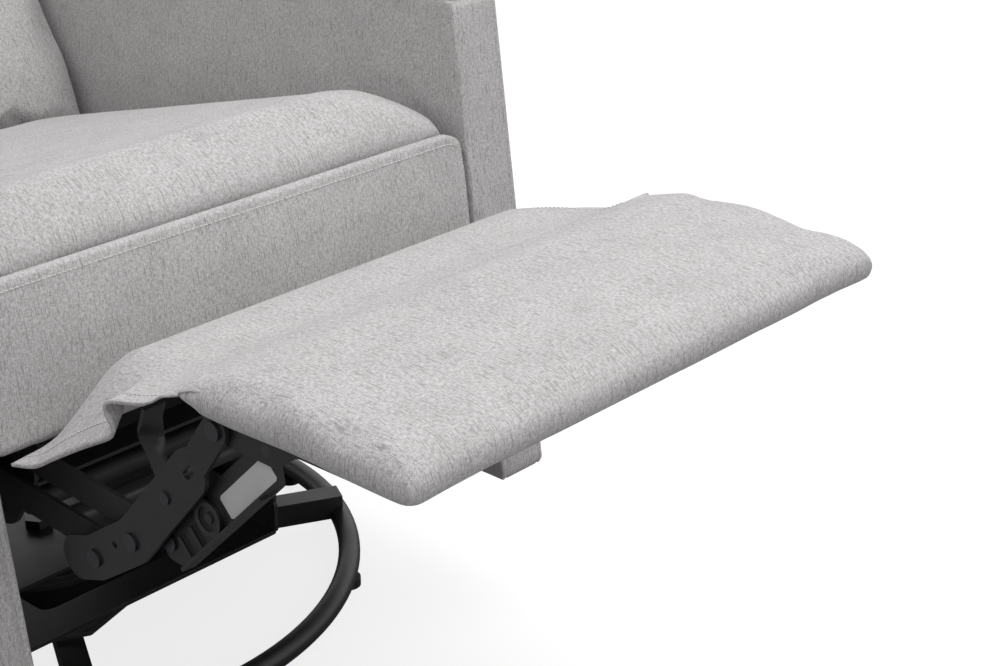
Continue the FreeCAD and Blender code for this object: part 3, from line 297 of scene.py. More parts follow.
def smooth_path(points, count):
    """A smooth open path near a few points: the points are spread evenly, then averaged with a
    bell-shaped window an eighth of the path wide, with both ends held."""
    path = spaced_path(points, count)
    reach = max(2, count // 14)
    window = np.exp(-np.linspace(-2, 2, 2 * reach + 1) ** 2)
    window /= window.sum()
    ends = [2 * path[:1] - path[reach:0:-1], path, 2 * path[-1:] - path[-2:-reach - 2:-1]]
    padded_path = np.concatenate(ends)
    columns = [np.convolve(column, window, "valid") for column in padded_path.T]
    return np.stack(columns, -1)


def outward(outline):
    """Unit normals of a closed outline that point away from its inside."""
    step = np.roll(outline, -1, 0) - np.roll(outline, 1, 0)
    normal = np.stack([step[:, 1], -step[:, 0]], -1)
    normal /= np.linalg.norm(normal, axis=1, keepdims=True)
    ahead = np.roll(outline, -1, 0)
    area = (outline[:, 0] * ahead[:, 1] - ahead[:, 0] * outline[:, 1]).sum()
    return normal if area > 0 else -normal


def body_between(outline, low, high, edge, place, middle=None, spacing=7 * MM, steps=6,
                 seams=()):
    """A closed body: an outline (u, v) carried from level low to level high.

    Towards each end the outline is drawn in along its normals by edge x (1 - sin a) while the
    level runs edge x (1 - cos a) from the end, a quarter circle. The end faces are the same
    outline shrunk to its middle in even steps. Each seam (level, depth) is a narrow V all round.
    place(u, v, level) gives the points in space.
    """
    normal = outward(outline)
    middle = outline.mean(0) if middle is None else np.asarray(middle)
    angle = np.linspace(0, np.pi / 2, steps)
    inset, reach = edge * (1 - np.sin(angle)), edge * (1 - np.cos(angle))
    straight = np.linspace(low + edge, high - edge, max(3, int((high - low) / spacing)))[1:-1]
    levels = np.concatenate([low + reach, straight, high - reach[::-1]])
    insets = np.concatenate([inset, np.zeros(len(straight)), inset[::-1]])
    for seam, depth in seams:
        away = np.abs(levels - seam) > 2 * MM
        levels = np.concatenate([levels[away], seam + np.array([-1.6, 0, 1.6]) * MM])
        insets = np.concatenate([insets[away], [0, depth, 0]])
    order = np.argsort(levels, kind="stable")
    levels, insets = levels[order], insets[order]
    body = outline[None] - normal[None] * insets[:, None, None]
    width = np.abs(outline - middle).max()
    shrink = np.linspace(0, 1, max(4, int(width / spacing)))[1:-1]
    head = middle + (body[0] - middle) * shrink[:, None, None]
    tail = middle + (body[-1] - middle) * shrink[::-1, None, None]
    rings = np.concatenate([head, body, tail])
    level = np.concatenate([np.full(len(head), low), levels, np.full(len(tail), high)])
    level = np.broadcast_to(level[:, None], rings.shape[:2])
    return closed_skin(place(rings[..., 0], rings[..., 1], level))


def side_place(u, v, level):
    """(forward, up) at a breadth."""
    return np.stack([level, -u, v], -1)


def even_mesh(piece, voxel, smoothing=6):
    """Remeshes a closed piece evenly and takes the steps off its edges."""
    remesh = piece.modifiers.new("even mesh", "REMESH")
    remesh.mode = "VOXEL"
    remesh.voxel_size = voxel
    relax = piece.modifiers.new("relax", "SMOOTH")
    relax.factor = 0.5
    relax.iterations = smoothing
    bake_modifiers(piece)


def blow_up(piece, settings, swell):
    """Swells a closed piece as cloth round an inside pressure, with no gravity.

    No point moves further than swell: longer moves are cut to that length.
    """
    scene = bpy.context.scene
    start = read_points(piece.data)
    cloth = piece.modifiers.new("pressure", "CLOTH")
    cloth.settings.quality = 5
    cloth.settings.use_pressure = True
    cloth.settings.uniform_pressure_force = settings.pressure
    cloth.settings.effector_weights.gravity = 0.0
    cloth.point_cache.frame_start = 1
    cloth.point_cache.frame_end = settings.frames
    for step in range(1, settings.frames + 1):
        scene.frame_set(step)
    graph = bpy.context.evaluated_depsgraph_get()
    end = read_points(piece.evaluated_get(graph).data)
    piece.modifiers.clear()
    scene.frame_set(1)
    move = end - start
    far = np.linalg.norm(move, axis=1, keepdims=True)
    write_points(piece.data, start + move * np.minimum(1, swell / np.maximum(far, 1e-9)))


def hold_behind(piece, planes):
    """Presses a piece flat against planes, each a point and an outward direction."""
    points = read_points(piece.data)
    for point, direction in planes:
        direction = np.asarray(direction, float) / np.linalg.norm(direction)
        past = (points - np.asarray(point)) @ direction
        points -= np.maximum(past, 0)[:, None] * direction
    write_points(piece.data, points)


def refine(piece):
    """One level of subdivision, applied."""
    finer = piece.modifiers.new("finer", "SUBSURF")
    finer.levels = finer.render_levels = 1
    bake_modifiers(piece)


def lay_cloth(piece, lean=0.0):
    """Lays the weave on a piece: a UV map in metres, seen square on from the nearest of the
    piece's own three directions. lean turns the piece upright about X first, in radians."""
    mesh = piece.data
    sine, cosine = math.sin(lean), math.cos(lean)
    turn = np.array([[1, 0, 0], [0, cosine, -sine], [0, sine, cosine]])
    points = read_points(mesh) @ turn.T
    normals = np.zeros(len(mesh.polygons) * 3, np.float32)
    mesh.polygons.foreach_get("normal", normals)
    sizes = np.zeros(len(mesh.polygons), np.int32)
    mesh.polygons.foreach_get("loop_total", sizes)
    corner = np.zeros(len(mesh.loops), np.int32)
    mesh.loops.foreach_get("vertex_index", corner)
    facing = np.repeat(np.abs(normals.reshape(-1, 3) @ turn.T).argmax(1), sizes)
    at = points[corner]
    across = np.where(facing == 0, at[:, 1], at[:, 0])
    along = np.where(facing == 2, at[:, 1], at[:, 2])
    layer = mesh.uv_layers.get("cloth") or mesh.uv_layers.new(name="cloth")
    layer.data.foreach_set("uv", np.stack([across, along], -1).astype(np.float32).ravel())


def on_surface(path, target, offset=0.0):
    """The path laid on a piece's surface, or held off it by an offset."""
    mesh = bpy.data.meshes.new("probe")
    mesh.from_pydata(np.asarray(path).tolist(), [], [])
    probe = bpy.data.objects.new("probe", mesh)
    bpy.context.scene.collection.objects.link(probe)
    wrap = probe.modifiers.new("lay", "SHRINKWRAP")
    wrap.target = target
    wrap.wrap_method = "NEAREST_SURFACEPOINT"
    wrap.wrap_mode = "ABOVE_SURFACE" if offset else "ON_SURFACE"
    wrap.offset = offset
    graph = bpy.context.evaluated_depsgraph_get()
    laid = read_points(probe.evaluated_get(graph).data)
    bpy.data.objects.remove(probe)
    bpy.data.meshes.remove(mesh)
    return laid


def stitch_run(name, path, target, settings, material):
    """A row of stitches on a surface.

    Each stitch is a short thread of five rings round its own line; along it the radius is
    r sqrt(1 - (2a/L)^2) and the line arches up by the same curve, so its ends dive into the cloth.
    """
    length = np.linalg.norm(np.diff(path, axis=0), axis=1).sum()
    path = spaced_path(path, max(2, int(length / settings.pitch)))
    centre = on_surface(path, target)
    normal = on_surface(path, target, 2 * MM) - centre
    normal /= np.maximum(np.linalg.norm(normal, axis=1, keepdims=True), 1e-9)
    tangent = np.gradient(centre, axis=0)
    tangent /= np.maximum(np.linalg.norm(tangent, axis=1, keepdims=True), 1e-9)
    side = np.cross(normal, tangent)
    rings, around = 5, 6
    share = np.linspace(-0.49, 0.49, rings)
    curve = np.sqrt(1 - (2 * share) ** 2)
    phi = np.linspace(0, 2 * np.pi, around, endpoint=False)
    thick = settings.radius * curve
    along = (share * settings.length)[:, None] * np.ones(around)
    up = thick[:, None] * np.cos(phi) + 0.6 * thick[:, None]
    out = thick[:, None] * np.sin(phi)
    points = centre[:, None, None] + sum(
        reach[None, ..., None] * direction[:, None, None]
        for reach, direction in ((along, tangent), (up, normal), (out, side)))
    row, col = np.arange(rings - 1)[:, None] * around, np.arange(around)[None]
    after = row + (col + 1) % around
    quad = np.stack([row + col, after, after + around, row + around + col], -1).reshape(-1, 4)
    total = rings * around
    each = np.arange(len(centre))[:, None, None] * total
    faces = (quad[None] + each).reshape(-1, 4).tolist()
    start_cap = np.arange(around)[None] + each[:, 0]
    end_cap = np.arange(total - 1, total - 1 - around, -1)[None] + each[:, 0]
    caps = start_cap.tolist() + end_cap.tolist()
    return new_piece(name, points.reshape(-1, 3), faces + caps, material)


# Materials


def add_node(tree, kind, inputs=None, **options):
    """Adds a shader node with its options; an input gets a value or the socket that feeds it."""
    node = tree.nodes.new(kind)
    for name, value in options.items():
        setattr(node, name, value)
    for name, value in (inputs or {}).items():
        if isinstance(value, bpy.types.NodeSocket):
            tree.links.new(value, node.inputs[name])
        else:
            node.inputs[name].default_value = value
    return node


def new_material(name):
    """An empty node material and its tree."""
    material = bpy.data.materials.new(name)
    material.use_nodes = True
    material.node_tree.nodes.clear()
    return material, material.node_tree


def finish_material(tree, shader):
    """Joins the shader to the material's surface."""
    output = add_node(tree, "ShaderNodeOutputMaterial", {"Surface": shader.outputs[0]})
    output.is_active_output = True


def coat(tree, inputs):
    """Covers the material with one principled shader."""
    finish_material(tree, add_node(tree, "ShaderNodeBsdfPrincipled", inputs))


def rgba(colour):
    """A colour with full cover."""
    return (*colour[:3], 1.0)


def object_place(tree):
    """The piece's own coordinates."""
    return add_node(tree, "ShaderNodeTexCoord").outputs["Object"]


def grain_of(tree, size, detail):
    """Noise whose humps lie about size apart, in the piece's own coordinates."""
    inputs = {"Vector": object_place(tree), "Scale": 1 / size, "Detail": detail}
    return add_node(tree, "ShaderNodeTexNoise", inputs).outputs[0]


def maths(tree, operation, *values):
    """One sum of one or more numbers."""
    return add_node(tree, "ShaderNodeMath", dict(enumerate(values)), operation=operation).outputs[0]


def span(tree, value, before, after):
    """The value carried from one range to another, held at the ends."""
    return add_node(tree, "ShaderNodeMapRange", {
        "Value": value, "From Min": before[0], "From Max": before[1],
        "To Min": after[0], "To Max": after[1],
    }).outputs[0]


def tinted(tree, colour, tone):
    """The colour times the tone."""
    inputs = {0: colour, "Scale": tone}
    return add_node(tree, "ShaderNodeVectorMath", inputs, operation="SCALE").outputs[0]


def mixed(tree, share, first, second):
    """A colour between two others."""
    inputs = {"Factor": share, "A": first, "B": second}
    return add_node(tree, "ShaderNodeMix", inputs, data_type="RGBA").outputs[2]


def run_between(tree, value, *ends):
    """A colour that runs from the first (position, colour) to the second."""
    ramp = add_node(tree, "ShaderNodeValToRGB", {"Fac": value})
    for element, (position, colour) in zip(ramp.color_ramp.elements, ends):
        element.position = position
        element.color = rgba(colour)
    return ramp.outputs[0]


def relief(tree, height, strength, distance):
    """Normals of a surface with this height pattern."""
    inputs = {"Height": height, "Strength": strength, "Distance": distance}
    return add_node(tree, "ShaderNodeBump", inputs).outputs[0]


def woven_polyester(cloth):
    """Heathered woven polyester, piece-dyed yarns of two greys: pale ground, short dark flecks
    along both yarns, a thicker dark slub now and then, matte with a faint fuzz at grazing light.
    The threads are drawn coarser than such a cloth's own, which would shimmer at this distance."""
    material, tree = new_material("heathered_polyester_weave")
    uv = add_node(tree, "ShaderNodeUVMap", uv_map="cloth").outputs[0]
    thin, long_ = 1 / cloth.yarn_width, 1 / cloth.yarn_length
    flecks = []
    fleck = {"Scale": 1.0, "Detail": 3.0, "Roughness": 0.62}
    for scale in ((thin, long_, 1), (long_, thin, 1)):
        at = add_node(tree, "ShaderNodeMapping", {"Vector": uv, "Scale": scale}).outputs[0]
        node = add_node(tree, "ShaderNodeTexNoise", {"Vector": at, **fleck}, noise_dimensions="2D")
        flecks.append(node.outputs[0])
    share = {"Factor": 0.42, "A": flecks[0], "B": flecks[1]}
    both = add_node(tree, "ShaderNodeMix", share).outputs[0]
    ground = run_between(tree, both, (0.32, cloth.dark_yarn), (0.60, cloth.light_yarn))
    slub_scale = (0.8 * thin, 1 / cloth.slub_length, 1)
    at = add_node(tree, "ShaderNodeMapping", {"Vector": uv, "Scale": slub_scale}).outputs[0]
    slub = {"Vector": at, "Scale": 1.0, "Detail": 1.0}
    thick = add_node(tree, "ShaderNodeTexNoise", slub, noise_dimensions="2D").outputs[0]
    rare = span(tree, thick, (0.60, 0.74), (0.0, 0.5))
    yarn = mixed(tree, rare, ground, rgba(cloth.slub))
    shade = span(tree, grain_of(tree, 0.045, 2.0), (0.3, 0.7), (0.955, 1.045))
    parts = add_node(tree, "ShaderNodeSeparateXYZ", {"Vector": uv})
    turns = 2 * math.pi / cloth.weave_pitch
    phases = [maths(tree, "MULTIPLY", parts.outputs[axis], turns) for axis in (0, 1)]
    weave = maths(tree, "MULTIPLY", *(maths(tree, "SINE", phase) for phase in phases))
    height = maths(tree, "MULTIPLY_ADD", weave, 0.16, both)
    coat(tree, {
        "Base Color": tinted(tree, yarn, shade), "Roughness": 0.88, "Specular IOR Level": 0.22,
        "Sheen Weight": 0.12, "Sheen Roughness": 0.45,
        "Normal": relief(tree, height, 0.55, 1.2 * MM),
    })
    return material


def flap_lining(cloth):
    """Non-woven polyester backing, heat-set: even pale grey with short fibres, matte."""
    material, tree = new_material("nonwoven_backing")
    fibre = grain_of(tree, 1.6 * MM, 4.0)
    shaded = tuple(0.82 * c for c in cloth.lining)
    coat(tree, {
        "Base Color": run_between(tree, fibre, (0.3, shaded), (0.6, cloth.lining)),
        "Roughness": 0.92, "Specular IOR Level": 0.2, "Normal": relief(tree, fibre, 0.3, 0.4 * MM),
    })
    return material


def sewing_thread(cloth):
    """Bonded polyester thread, two plies: pale, with a soft gloss along its twist."""
    material, tree = new_material("bonded_polyester_thread")
    tone = span(tree, grain_of(tree, 0.8 * MM, 1.0), (0.0, 1.0), (0.86, 1.06))
    coat(tree, {
        "Base Color": tinted(tree, tuple(cloth.thread), tone), "Roughness": 0.55,
        "Sheen Weight": 0.2, "Sheen Roughness": 0.4,
    })
    return material


def powder_coat(steel):
    """Steel with semi-gloss black powder coat, baked: an orange-peel skin about 2 mm from hump to
    hump, slightly paler where it lies thin over an edge."""
    material, tree = new_material("black_powder_coated_steel")
    peel, dust = grain_of(tree, 2 * MM, 1.5), grain_of(tree, 60 * MM, 5.0)
    sheen = (steel.paint_roughness - 0.05, steel.paint_roughness + 0.09)
    soft = add_node(tree, "ShaderNodeBevel", {"Radius": 0.9 * MM}, samples=4).outputs[0]
    flat = add_node(tree, "ShaderNodeNewGeometry").outputs["Normal"]
    turned = add_node(tree, "ShaderNodeVectorMath", {0: soft, 1: flat}, operation="DOT_PRODUCT")
    edge = span(tree, turned.outputs["Value"], (0.97, 0.80), (0.0, 0.7))
    bump = add_node(tree, "ShaderNodeBump", {
        "Height": peel, "Strength": 0.12, "Distance": 0.3 * MM, "Normal": soft,
    })
    coat(tree, {
        "Base Color": mixed(tree, edge, rgba(steel.paint), rgba(steel.worn_edge)),
        "Roughness": span(tree, dust, (0.3, 0.7), sheen), "Normal": bump.outputs[0],
    })
    return material


def black_zinc(steel):
    """Steel rivets and screws, black zinc plated and upset: dark grey metal with a satin head."""
    material, tree = new_material("black_zinc_plated_steel")
    grain = grain_of(tree, 1.2 * MM, 3.0)
    coat(tree, {
        "Base Color": rgba(steel.plating), "Metallic": 1.0,
        "Roughness": span(tree, grain, (0.0, 1.0), (0.30, 0.48)),
        "Normal": relief(tree, grain, 0.15, 0.2 * MM),
    })
    return material


def birch_plywood():
    """Rotary-cut birch plywood, sanded and raw: long grain lines 3 mm apart on a pale yellow."""
    material, tree = new_material("birch_plywood")
    stretch = {"Vector": object_place(tree), "Scale": (1 / 0.12, 1 / 0.003, 1 / 0.003)}
    at = add_node(tree, "ShaderNodeMapping", stretch).outputs[0]
    lines = {"Vector": at, "Scale": 1.0, "Detail": 4.0, "Distortion": 0.4}
    grain = add_node(tree, "ShaderNodeTexNoise", lines).outputs[0]
    wood = run_between(tree, grain, (0.32, linear("#A98455")), (0.62, linear("#D6BA8C")))
    coat(tree, {"Base Color": wood, "Roughness": 0.7})
    return material


def elastic_webbing():
    """Woven elastic webbing: charcoal, ribbed across every 2.5 mm."""
    material, tree = new_material("woven_elastic_webbing")
    parts = add_node(tree, "ShaderNodeSeparateXYZ", {"Vector": object_place(tree)})
    phase = maths(tree, "MULTIPLY", parts.outputs[1], 2 * math.pi / (2.5 * MM))
    rib = maths(tree, "SINE", phase)
    tone = span(tree, rib, (-1.0, 1.0), (0.8, 1.15))
    coat(tree, {
        "Base Color": tinted(tree, linear("#3A3A3A"), tone), "Roughness": 0.85,
        "Normal": relief(tree, rib, 0.4, 0.5 * MM),
    })
    return material


def moulded(name, code, roughness, grain):
    """Injection moulded plastic or rubber with a spark-eroded grain of the given size, which
    breaks up its gloss."""
    material, tree = new_material(name)
    pits = grain_of(tree, grain, 2.0)
    tone = span(tree, pits, (0.0, 1.0), (0.9, 1.12))
    coat(tree, {
        "Base Color": tinted(tree, linear(code), tone), "Roughness": roughness,
        "Normal": relief(tree, pits, 0.25, 0.25 * MM),
    })
    return material


def sticker_paper():
    """Blank coated paper sticker: smooth near-white with a faint fibre mottle."""
    material, tree = new_material("coated_paper")
    tone = span(tree, grain_of(tree, 4 * MM, 3.0), (0.0, 1.0), (0.96, 1.02))
    coat(tree, {"Base Color": tinted(tree, linear("#D8D8DA"), tone), "Roughness": 0.4})
    return material


FINISHES = {}


def finish(name):
    """The material of a finish, made the first time that it is asked for."""
    scene = bpy.context.scene
    makers = {
        "cloth": lambda: woven_polyester(scene.recliner_cloth),
        "lining": lambda: flap_lining(scene.recliner_cloth),
        "thread": lambda: sewing_thread(scene.recliner_cloth),
        "black_paint": lambda: powder_coat(scene.recliner_steel),
        "zinc": lambda: black_zinc(scene.recliner_steel),
        "plywood": birch_plywood,
        "webbing": elastic_webbing,
        "black_plastic": lambda: moulded("moulded_nylon", "#1D1D1E", 0.5, 0.9 * MM),
        "black_rubber": lambda: moulded("moulded_rubber", "#161616", 0.78, 1.4 * MM),
        "paper": sticker_paper,
    }
    if name not in FINISHES:
        FINISHES[name] = makers[name]()
    return FINISHES[name]


# Soft pieces

SEAT_PITCH = math.tan(math.radians(14.8))
BACK_LEAN = math.radians(33.0)
BACK_CREASE = np.array([-0.220, 0.372])
ARM_LEAN = 0.14
ARM_HEM = 0.147
ARM_TOP = 0.5978
ARM_INNER = 0.2602
ARM_OUTER = 0.3168
BETWEEN_ARMS = 0.2592
FLAP_HALF = 0.2535


def corners_mm(*pairs):
    """Corner points given in millimetres."""
    return np.array(pairs, float) * MM


def seat_top(f):
    """Height of the seat's plane at a forward distance."""
    return 0.377 + (f + 0.200) * SEAT_PITCH


def sew(piece, name, path, body):
    """Lays one row of stitches on a piece and lets it ride on the same body."""
    row = stitch_run(name, path, piece, bpy.context.scene.recliner_stitches, finish("thread"))
    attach(row, body)
    return row


def dress(piece, body, *nodes, fill=None, slot="grey_weave"):
    """Rides a soft piece on its body and lets it stand for its CAD nodes."""
    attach(piece, body)
    if nodes:
        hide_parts(*nodes)


def end_drop(x, half):
    """How far the seam under the seat's nose falls over the last tenth of its length."""
    return 13 * MM * np.clip((np.abs(x) / half - 0.9) / 0.1, 0, 1) ** 2


def make_seat():
    """Seat cushion: a side outline carried across, with the crown falling towards the arms by
    drop x ((|x| / w - 0.5) / 0.5)^2.4, swollen, then pressed against the arms."""
    sizes = bpy.context.scene.recliner_cushions
    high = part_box("seat_cushion")[1]
    half = high.x - 2 * MM
    under = seat_top(-0.194) - 0.086
    outline = rounded_outline(
        corners_mm((-196, 293), (316, 429), (322, 472), (343.5, 480.5), (342, 497), (322, 517),
                   (284, 519), (240, 504), (0, 441), (-150, 402), (-197, 388)),
        [x * MM for x in (14, 6, 6, 1, 24, 36, 60, 120, 300, 80, 10)])
    points, faces = body_between(outline, -half, half, 10 * MM, side_place)
    share = np.clip((np.abs(points[:, 0]) / half - 0.5) / 0.5, 0, 1)
    lift = np.clip((points[:, 2] - seat_top(-points[:, 1]) + 0.036) / 0.04, 0, 1)
    points[:, 2] -= sizes.side_drop * share ** 2.4 * lift
    nose = np.clip((-points[:, 1] - 0.315) / 0.02, 0, 1) * (1 - lift * share ** 2.4)
    points[:, 2] -= end_drop(points[:, 0], half) * nose
    piece = new_piece("seat_cushion_cover", points, faces, finish("cloth"))
    even_mesh(piece, sizes.voxel, 3)
    blow_up(piece, sizes, sizes.seat_swell)
    wall = high.x + 1 * MM
    floor_normal = (0, -SEAT_PITCH, -1)
    hold_behind(piece, [((wall, 0, 0), (1, 0, 0)), ((-wall, 0, 0), (-1, 0, 0)),
                        ((0, 0.194, under), floor_normal), ((0, -0.3455, 0), (0, -1, 0))])
    refine(piece)
    lay_cloth(piece)
    dress(piece, "chair_frame", "seat_cushion", fill=0.7)
    return piece


def make_fascia():
    """Front panel under the seat, flush with the seat's nose: a leaning board with a soft face,
    its crown crown x (1 - v^2) x (1 - (x / w)^6) over the panel's own height v."""
    low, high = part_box("seat_fascia")
    half = high.x - 0.5 * MM
    outline = rounded_outline(
        corners_mm((362, 355.5), (350, 452), (346, 478), (344.2, 485), (336, 485), (330, 473),
                   (316, 450), (341, 355.5)),
        [x * MM for x in (7, 60, 3, 1.5, 2, 3, 10, 5)], 3 * MM)
    points, faces = body_between(outline, -half, half, 9 * MM, side_place, spacing=5 * MM)
    height = np.clip((points[:, 2] - low.z) / (high.z - low.z) * 2 - 1, -1, 1)
    front = np.clip((-points[:, 1] - 0.345 + (points[:, 2] - 0.42) * 0.14) / 0.01, 0, 1)
    points[:, 1] -= 3.5 * MM * front * (1 - height ** 2) * (1 - (points[:, 0] / half) ** 6)
    points[:, 2] -= end_drop(points[:, 0], half) * np.clip(height, 0, 1) ** 2
    piece = new_piece("seat_front_panel", points, faces, finish("cloth"))
    lay_cloth(piece)
    dress(piece, "chair_frame", "seat_fascia", fill=0.8)
    x = np.linspace(-half + 6 * MM, half - 6 * MM, 90)
    row = np.stack([x, np.full(90, -0.3465), 0.4775 - end_drop(x, half)], -1)
    sew(piece, "seat_front_stitching", row, "chair_frame")
    return piece


def back_place(u, v, level):
    """Back coordinates: u up the back, v into its depth, at a breadth."""
    f = BACK_CREASE[0] - u * math.sin(BACK_LEAN) - v * math.cos(BACK_LEAN)
    z = BACK_CREASE[1] + u * math.cos(BACK_LEAN) - v * math.sin(BACK_LEAN)
    return np.stack([level, -f, z], -1)


def make_back_cushion(node, start, end, bulge, half, walls=()):
    """One channel of the back: a bolster outline up the back, carried across and swollen. It runs
    from start to end up the back and bulges forward, in mm; walls hold its ends."""
    sizes = bpy.context.scene.recliner_cushions
    foot, foot_radius = (9, 8) if start > 0 else (-2, 2)
    outline = rounded_outline(
        corners_mm((start + 1, 60), (start + 1, foot), (start + 16, -bulge * 0.45),
                   (start + 84, -bulge), (end - 84, -bulge), (end - 16, -bulge * 0.45),
                   (end - 1, 9), (end - 1, 60)),
        [x * MM for x in (3, foot_radius, 26, 60, 60, 26, 8, 3)])
    points, faces = body_between(outline, -half, half, 9 * MM, back_place)
    piece = new_piece(f"{node}_cover", points, faces, finish("cloth"))
    even_mesh(piece, sizes.voxel)
    blow_up(piece, sizes, sizes.back_swell)
    up = np.array([0, math.sin(BACK_LEAN), math.cos(BACK_LEAN)])
    deep = np.array([0, math.cos(BACK_LEAN), -math.sin(BACK_LEAN)])
    bottom, top = (back_place(np.array(s * MM), np.array(0.0), np.array(0.0)) for s in (start, end))
    rear = back_place(np.array(0.0), np.array(0.0618), np.array(0.0))
    hold_behind(piece, [(bottom, -up), (top, up), (rear, deep), *walls])
    refine(piece)
    lay_cloth(piece, -BACK_LEAN)
    dress(piece, "backrest", node, fill=0.75)
    return piece


def make_back_shell():
    """Upholstered rear of the back: the outline from the front, narrow between the arms and
    wider above them, carried through its depth with a soft rear edge."""
    outline = rounded_outline(
        corners_mm((-257, 2), (257, 2), (257, 335), (299, 352), (299, 689), (-299, 689),
                   (-299, 352), (-257, 335)),
        [x * MM for x in (6, 6, 8, 20, 60, 60, 20, 8)])

    def place(u, v, level):
        return back_place(v, level, u)

    points, faces = body_between(outline, 62.4 * MM, 111.5 * MM, 12 * MM, place,
                                 middle=(0, 0.45), spacing=8 * MM)
    piece = new_piece("back_rear_cover", points, faces, finish("cloth"))
    lay_cloth(piece, -BACK_LEAN)
    dress(piece, "backrest", "back_shell")
    return piece


def arm_front(z):
    """Forward reach of an arm at a height: it leans back as it rises."""
    return 0.370 - ARM_LEAN * (z - 0.300)


def make_arm(side, hand):
    """One arm: the side outline carried through its thickness; the broad faces crown by
    1.2 mm and the seams down the front corners are drawn in. Its hem lies 42 mm above the
    solid's lower edge, at the height that the photograph shows."""
    inner, outer, bottom, top = ARM_INNER, ARM_OUTER, ARM_HEM, ARM_TOP
    outline = rounded_outline(
        np.array([(-0.3218, bottom), (arm_front(bottom), bottom), (arm_front(top), top),
                  (-0.3338, top)]),
        [6 * MM, 2.5 * MM, 4 * MM, 4 * MM], 8 * MM)
    points, faces = body_between(outline, inner, outer, 3 * MM, side_place, spacing=9 * MM,
                                 seams=[(inner + 6.5 * MM, 1.3 * MM), (outer - 6.5 * MM, 1.3 * MM)])
    across = (points[:, 0] - (inner + outer) / 2) / ((outer - inner) / 2)
    run = np.clip((-points[:, 1] + 0.33) / 0.69, 0, 1)
    rise = np.clip((points[:, 2] - bottom) / (top - bottom), 0, 1)
    puff = 16 * run * (1 - run) * rise * (1 - rise)
    bezel = 1 - np.exp(-(np.hypot(points[:, 1] + 0.150, points[:, 2] - 0.420) / 0.07) ** 2)
    points[:, 0] += 1.2 * MM * across ** 3 * puff * np.where(across > 0, bezel, 1.0)
    points[:, 0] *= side
    if side < 0:
        faces = [face[::-1] for face in faces]
    piece = new_piece(f"arm_cover_{hand}_cloth", points, faces, finish("cloth"))
    lay_cloth(piece)
    dress(piece, "chair_frame", f"arm_cover_{hand}")
    return piece


def make_arm_boards():
    """Plywood boards inside the arms: the solids' own boards, with every point below the covers'
    hem raised to 2 mm above it, and the front ones drawn back by the arm's lean."""
    mesh = frame["nodes"]["arm_boards"].data
    points = read_points(mesh)
    lift = np.maximum(ARM_HEM + 2 * MM - points[:, 2], 0)
    points[:, 2] += lift
    points[:, 1] += ARM_LEAN * lift * (points[:, 1] < 0)
    faces = [tuple(face.vertices) for face in mesh.polygons]
    piece = new_piece("arm_boards_ply", points, faces, finish("plywood"))
    dress(piece, "chair_frame", "arm_boards", slot="plywood")
    return piece


def make_arm_pad(side, hand):
    """Padded top of an arm: side outline carried across, crowned over its breadth."""
    low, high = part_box(f"arm_pad_{hand}")
    bottom, top = low.z + 0.2 * MM, high.z
    front = arm_front(bottom)
    outline = rounded_outline(
        np.array([(-0.333, bottom), (front, bottom), (arm_front(top) + 2 * MM, top - 9 * MM),
                  (arm_front(top) - 18 * MM, top), (-0.311, top), (-0.334, top - 12 * MM)]),
        [x * MM for x in (3, 6, 12, 24, 26, 12)], 7 * MM)
    points, faces = body_between(outline, ARM_INNER, ARM_OUTER, 11 * MM, side_place,
                                 spacing=4 * MM, steps=9)
    across = (points[:, 0] - (ARM_INNER + ARM_OUTER) / 2) / ((ARM_OUTER - ARM_INNER) / 2)
    lift = np.clip((points[:, 2] - bottom) / (top - bottom), 0, 1)
    points[:, 2] -= 4.5 * MM * across ** 2 * lift
    points[:, 0] *= side
    if side < 0:
        faces = [face[::-1] for face in faces]
    piece = new_piece(f"arm_pad_{hand}_cloth", points, faces, finish("cloth"))
    lay_cloth(piece)
    dress(piece, "chair_frame", f"arm_pad_{hand}", fill=0.7)
    return piece


def make_footrest_pad():
    """Footrest pad: a side outline carried across, crisp below and rounded above. In plan the
    corners are quarter circles: past |x| = w - c the reach is cut by c - sqrt(c^2 - p^2) with
    p = |x| - w + c.
    The shoulders fall by 0.85 d (1 - sqrt(1 - s^2)), with s over the last d along both sides.
    The cover also stands for footrest_block, which the photographed chair doesn't have."""
    sizes = bpy.context.scene.recliner_cushions
    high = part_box("footrest_pad")[1]
    half, corner, shoulder = high.x + 0.5 * MM, 13 * MM, 17 * MM
    outline = rounded_outline(
        corners_mm((560.5, 472), (584, 464.2), (783, 464.2), (785, 484), (768, 493.5), (670, 497),
                   (606, 493.5), (578, 485.5), (560.5, 478)),
        [x * MM for x in (2, 10, 3, 12, 40, 200, 60, 20, 2)], 5 * MM)
    points, faces = body_between(outline, -half, half, 3 * MM, side_place, spacing=6 * MM)
    past = np.clip(np.abs(points[:, 0]) - (half - corner), 0, corner)
    cut = corner - np.sqrt(np.maximum(corner ** 2 - past ** 2, 0))
    points[:, 1] += cut * np.clip((-points[:, 1] - 0.74) / 0.04, 0, 1)
    past = np.clip((np.abs(points[:, 0]) - (half - shoulder)) / shoulder, 0, 1)
    lift = np.clip((points[:, 2] - 0.466) / 0.028, 0, 1)
    share = np.clip(np.abs(points[:, 0]) / half, 0, 1)
    points[:, 2] -= (shoulder * (1 - np.sqrt(1 - past ** 2)) * 0.85 + 4 * MM * share ** 3) * lift
    piece = new_piece("footrest_pad_cover", points, faces, finish("cloth"))
    even_mesh(piece, 5 * MM, 3)
    blow_up(piece, sizes, sizes.pad_swell)
    hold_behind(piece, [((0, 0, 0.4632), (0, 0, -1)), ((0, -0.5592, 0), (0, 1, 0))])
    refine(piece)
    lay_cloth(piece)
    dress(piece, "footrest", "footrest_pad", "footrest_block", fill=0.8)
    return piece


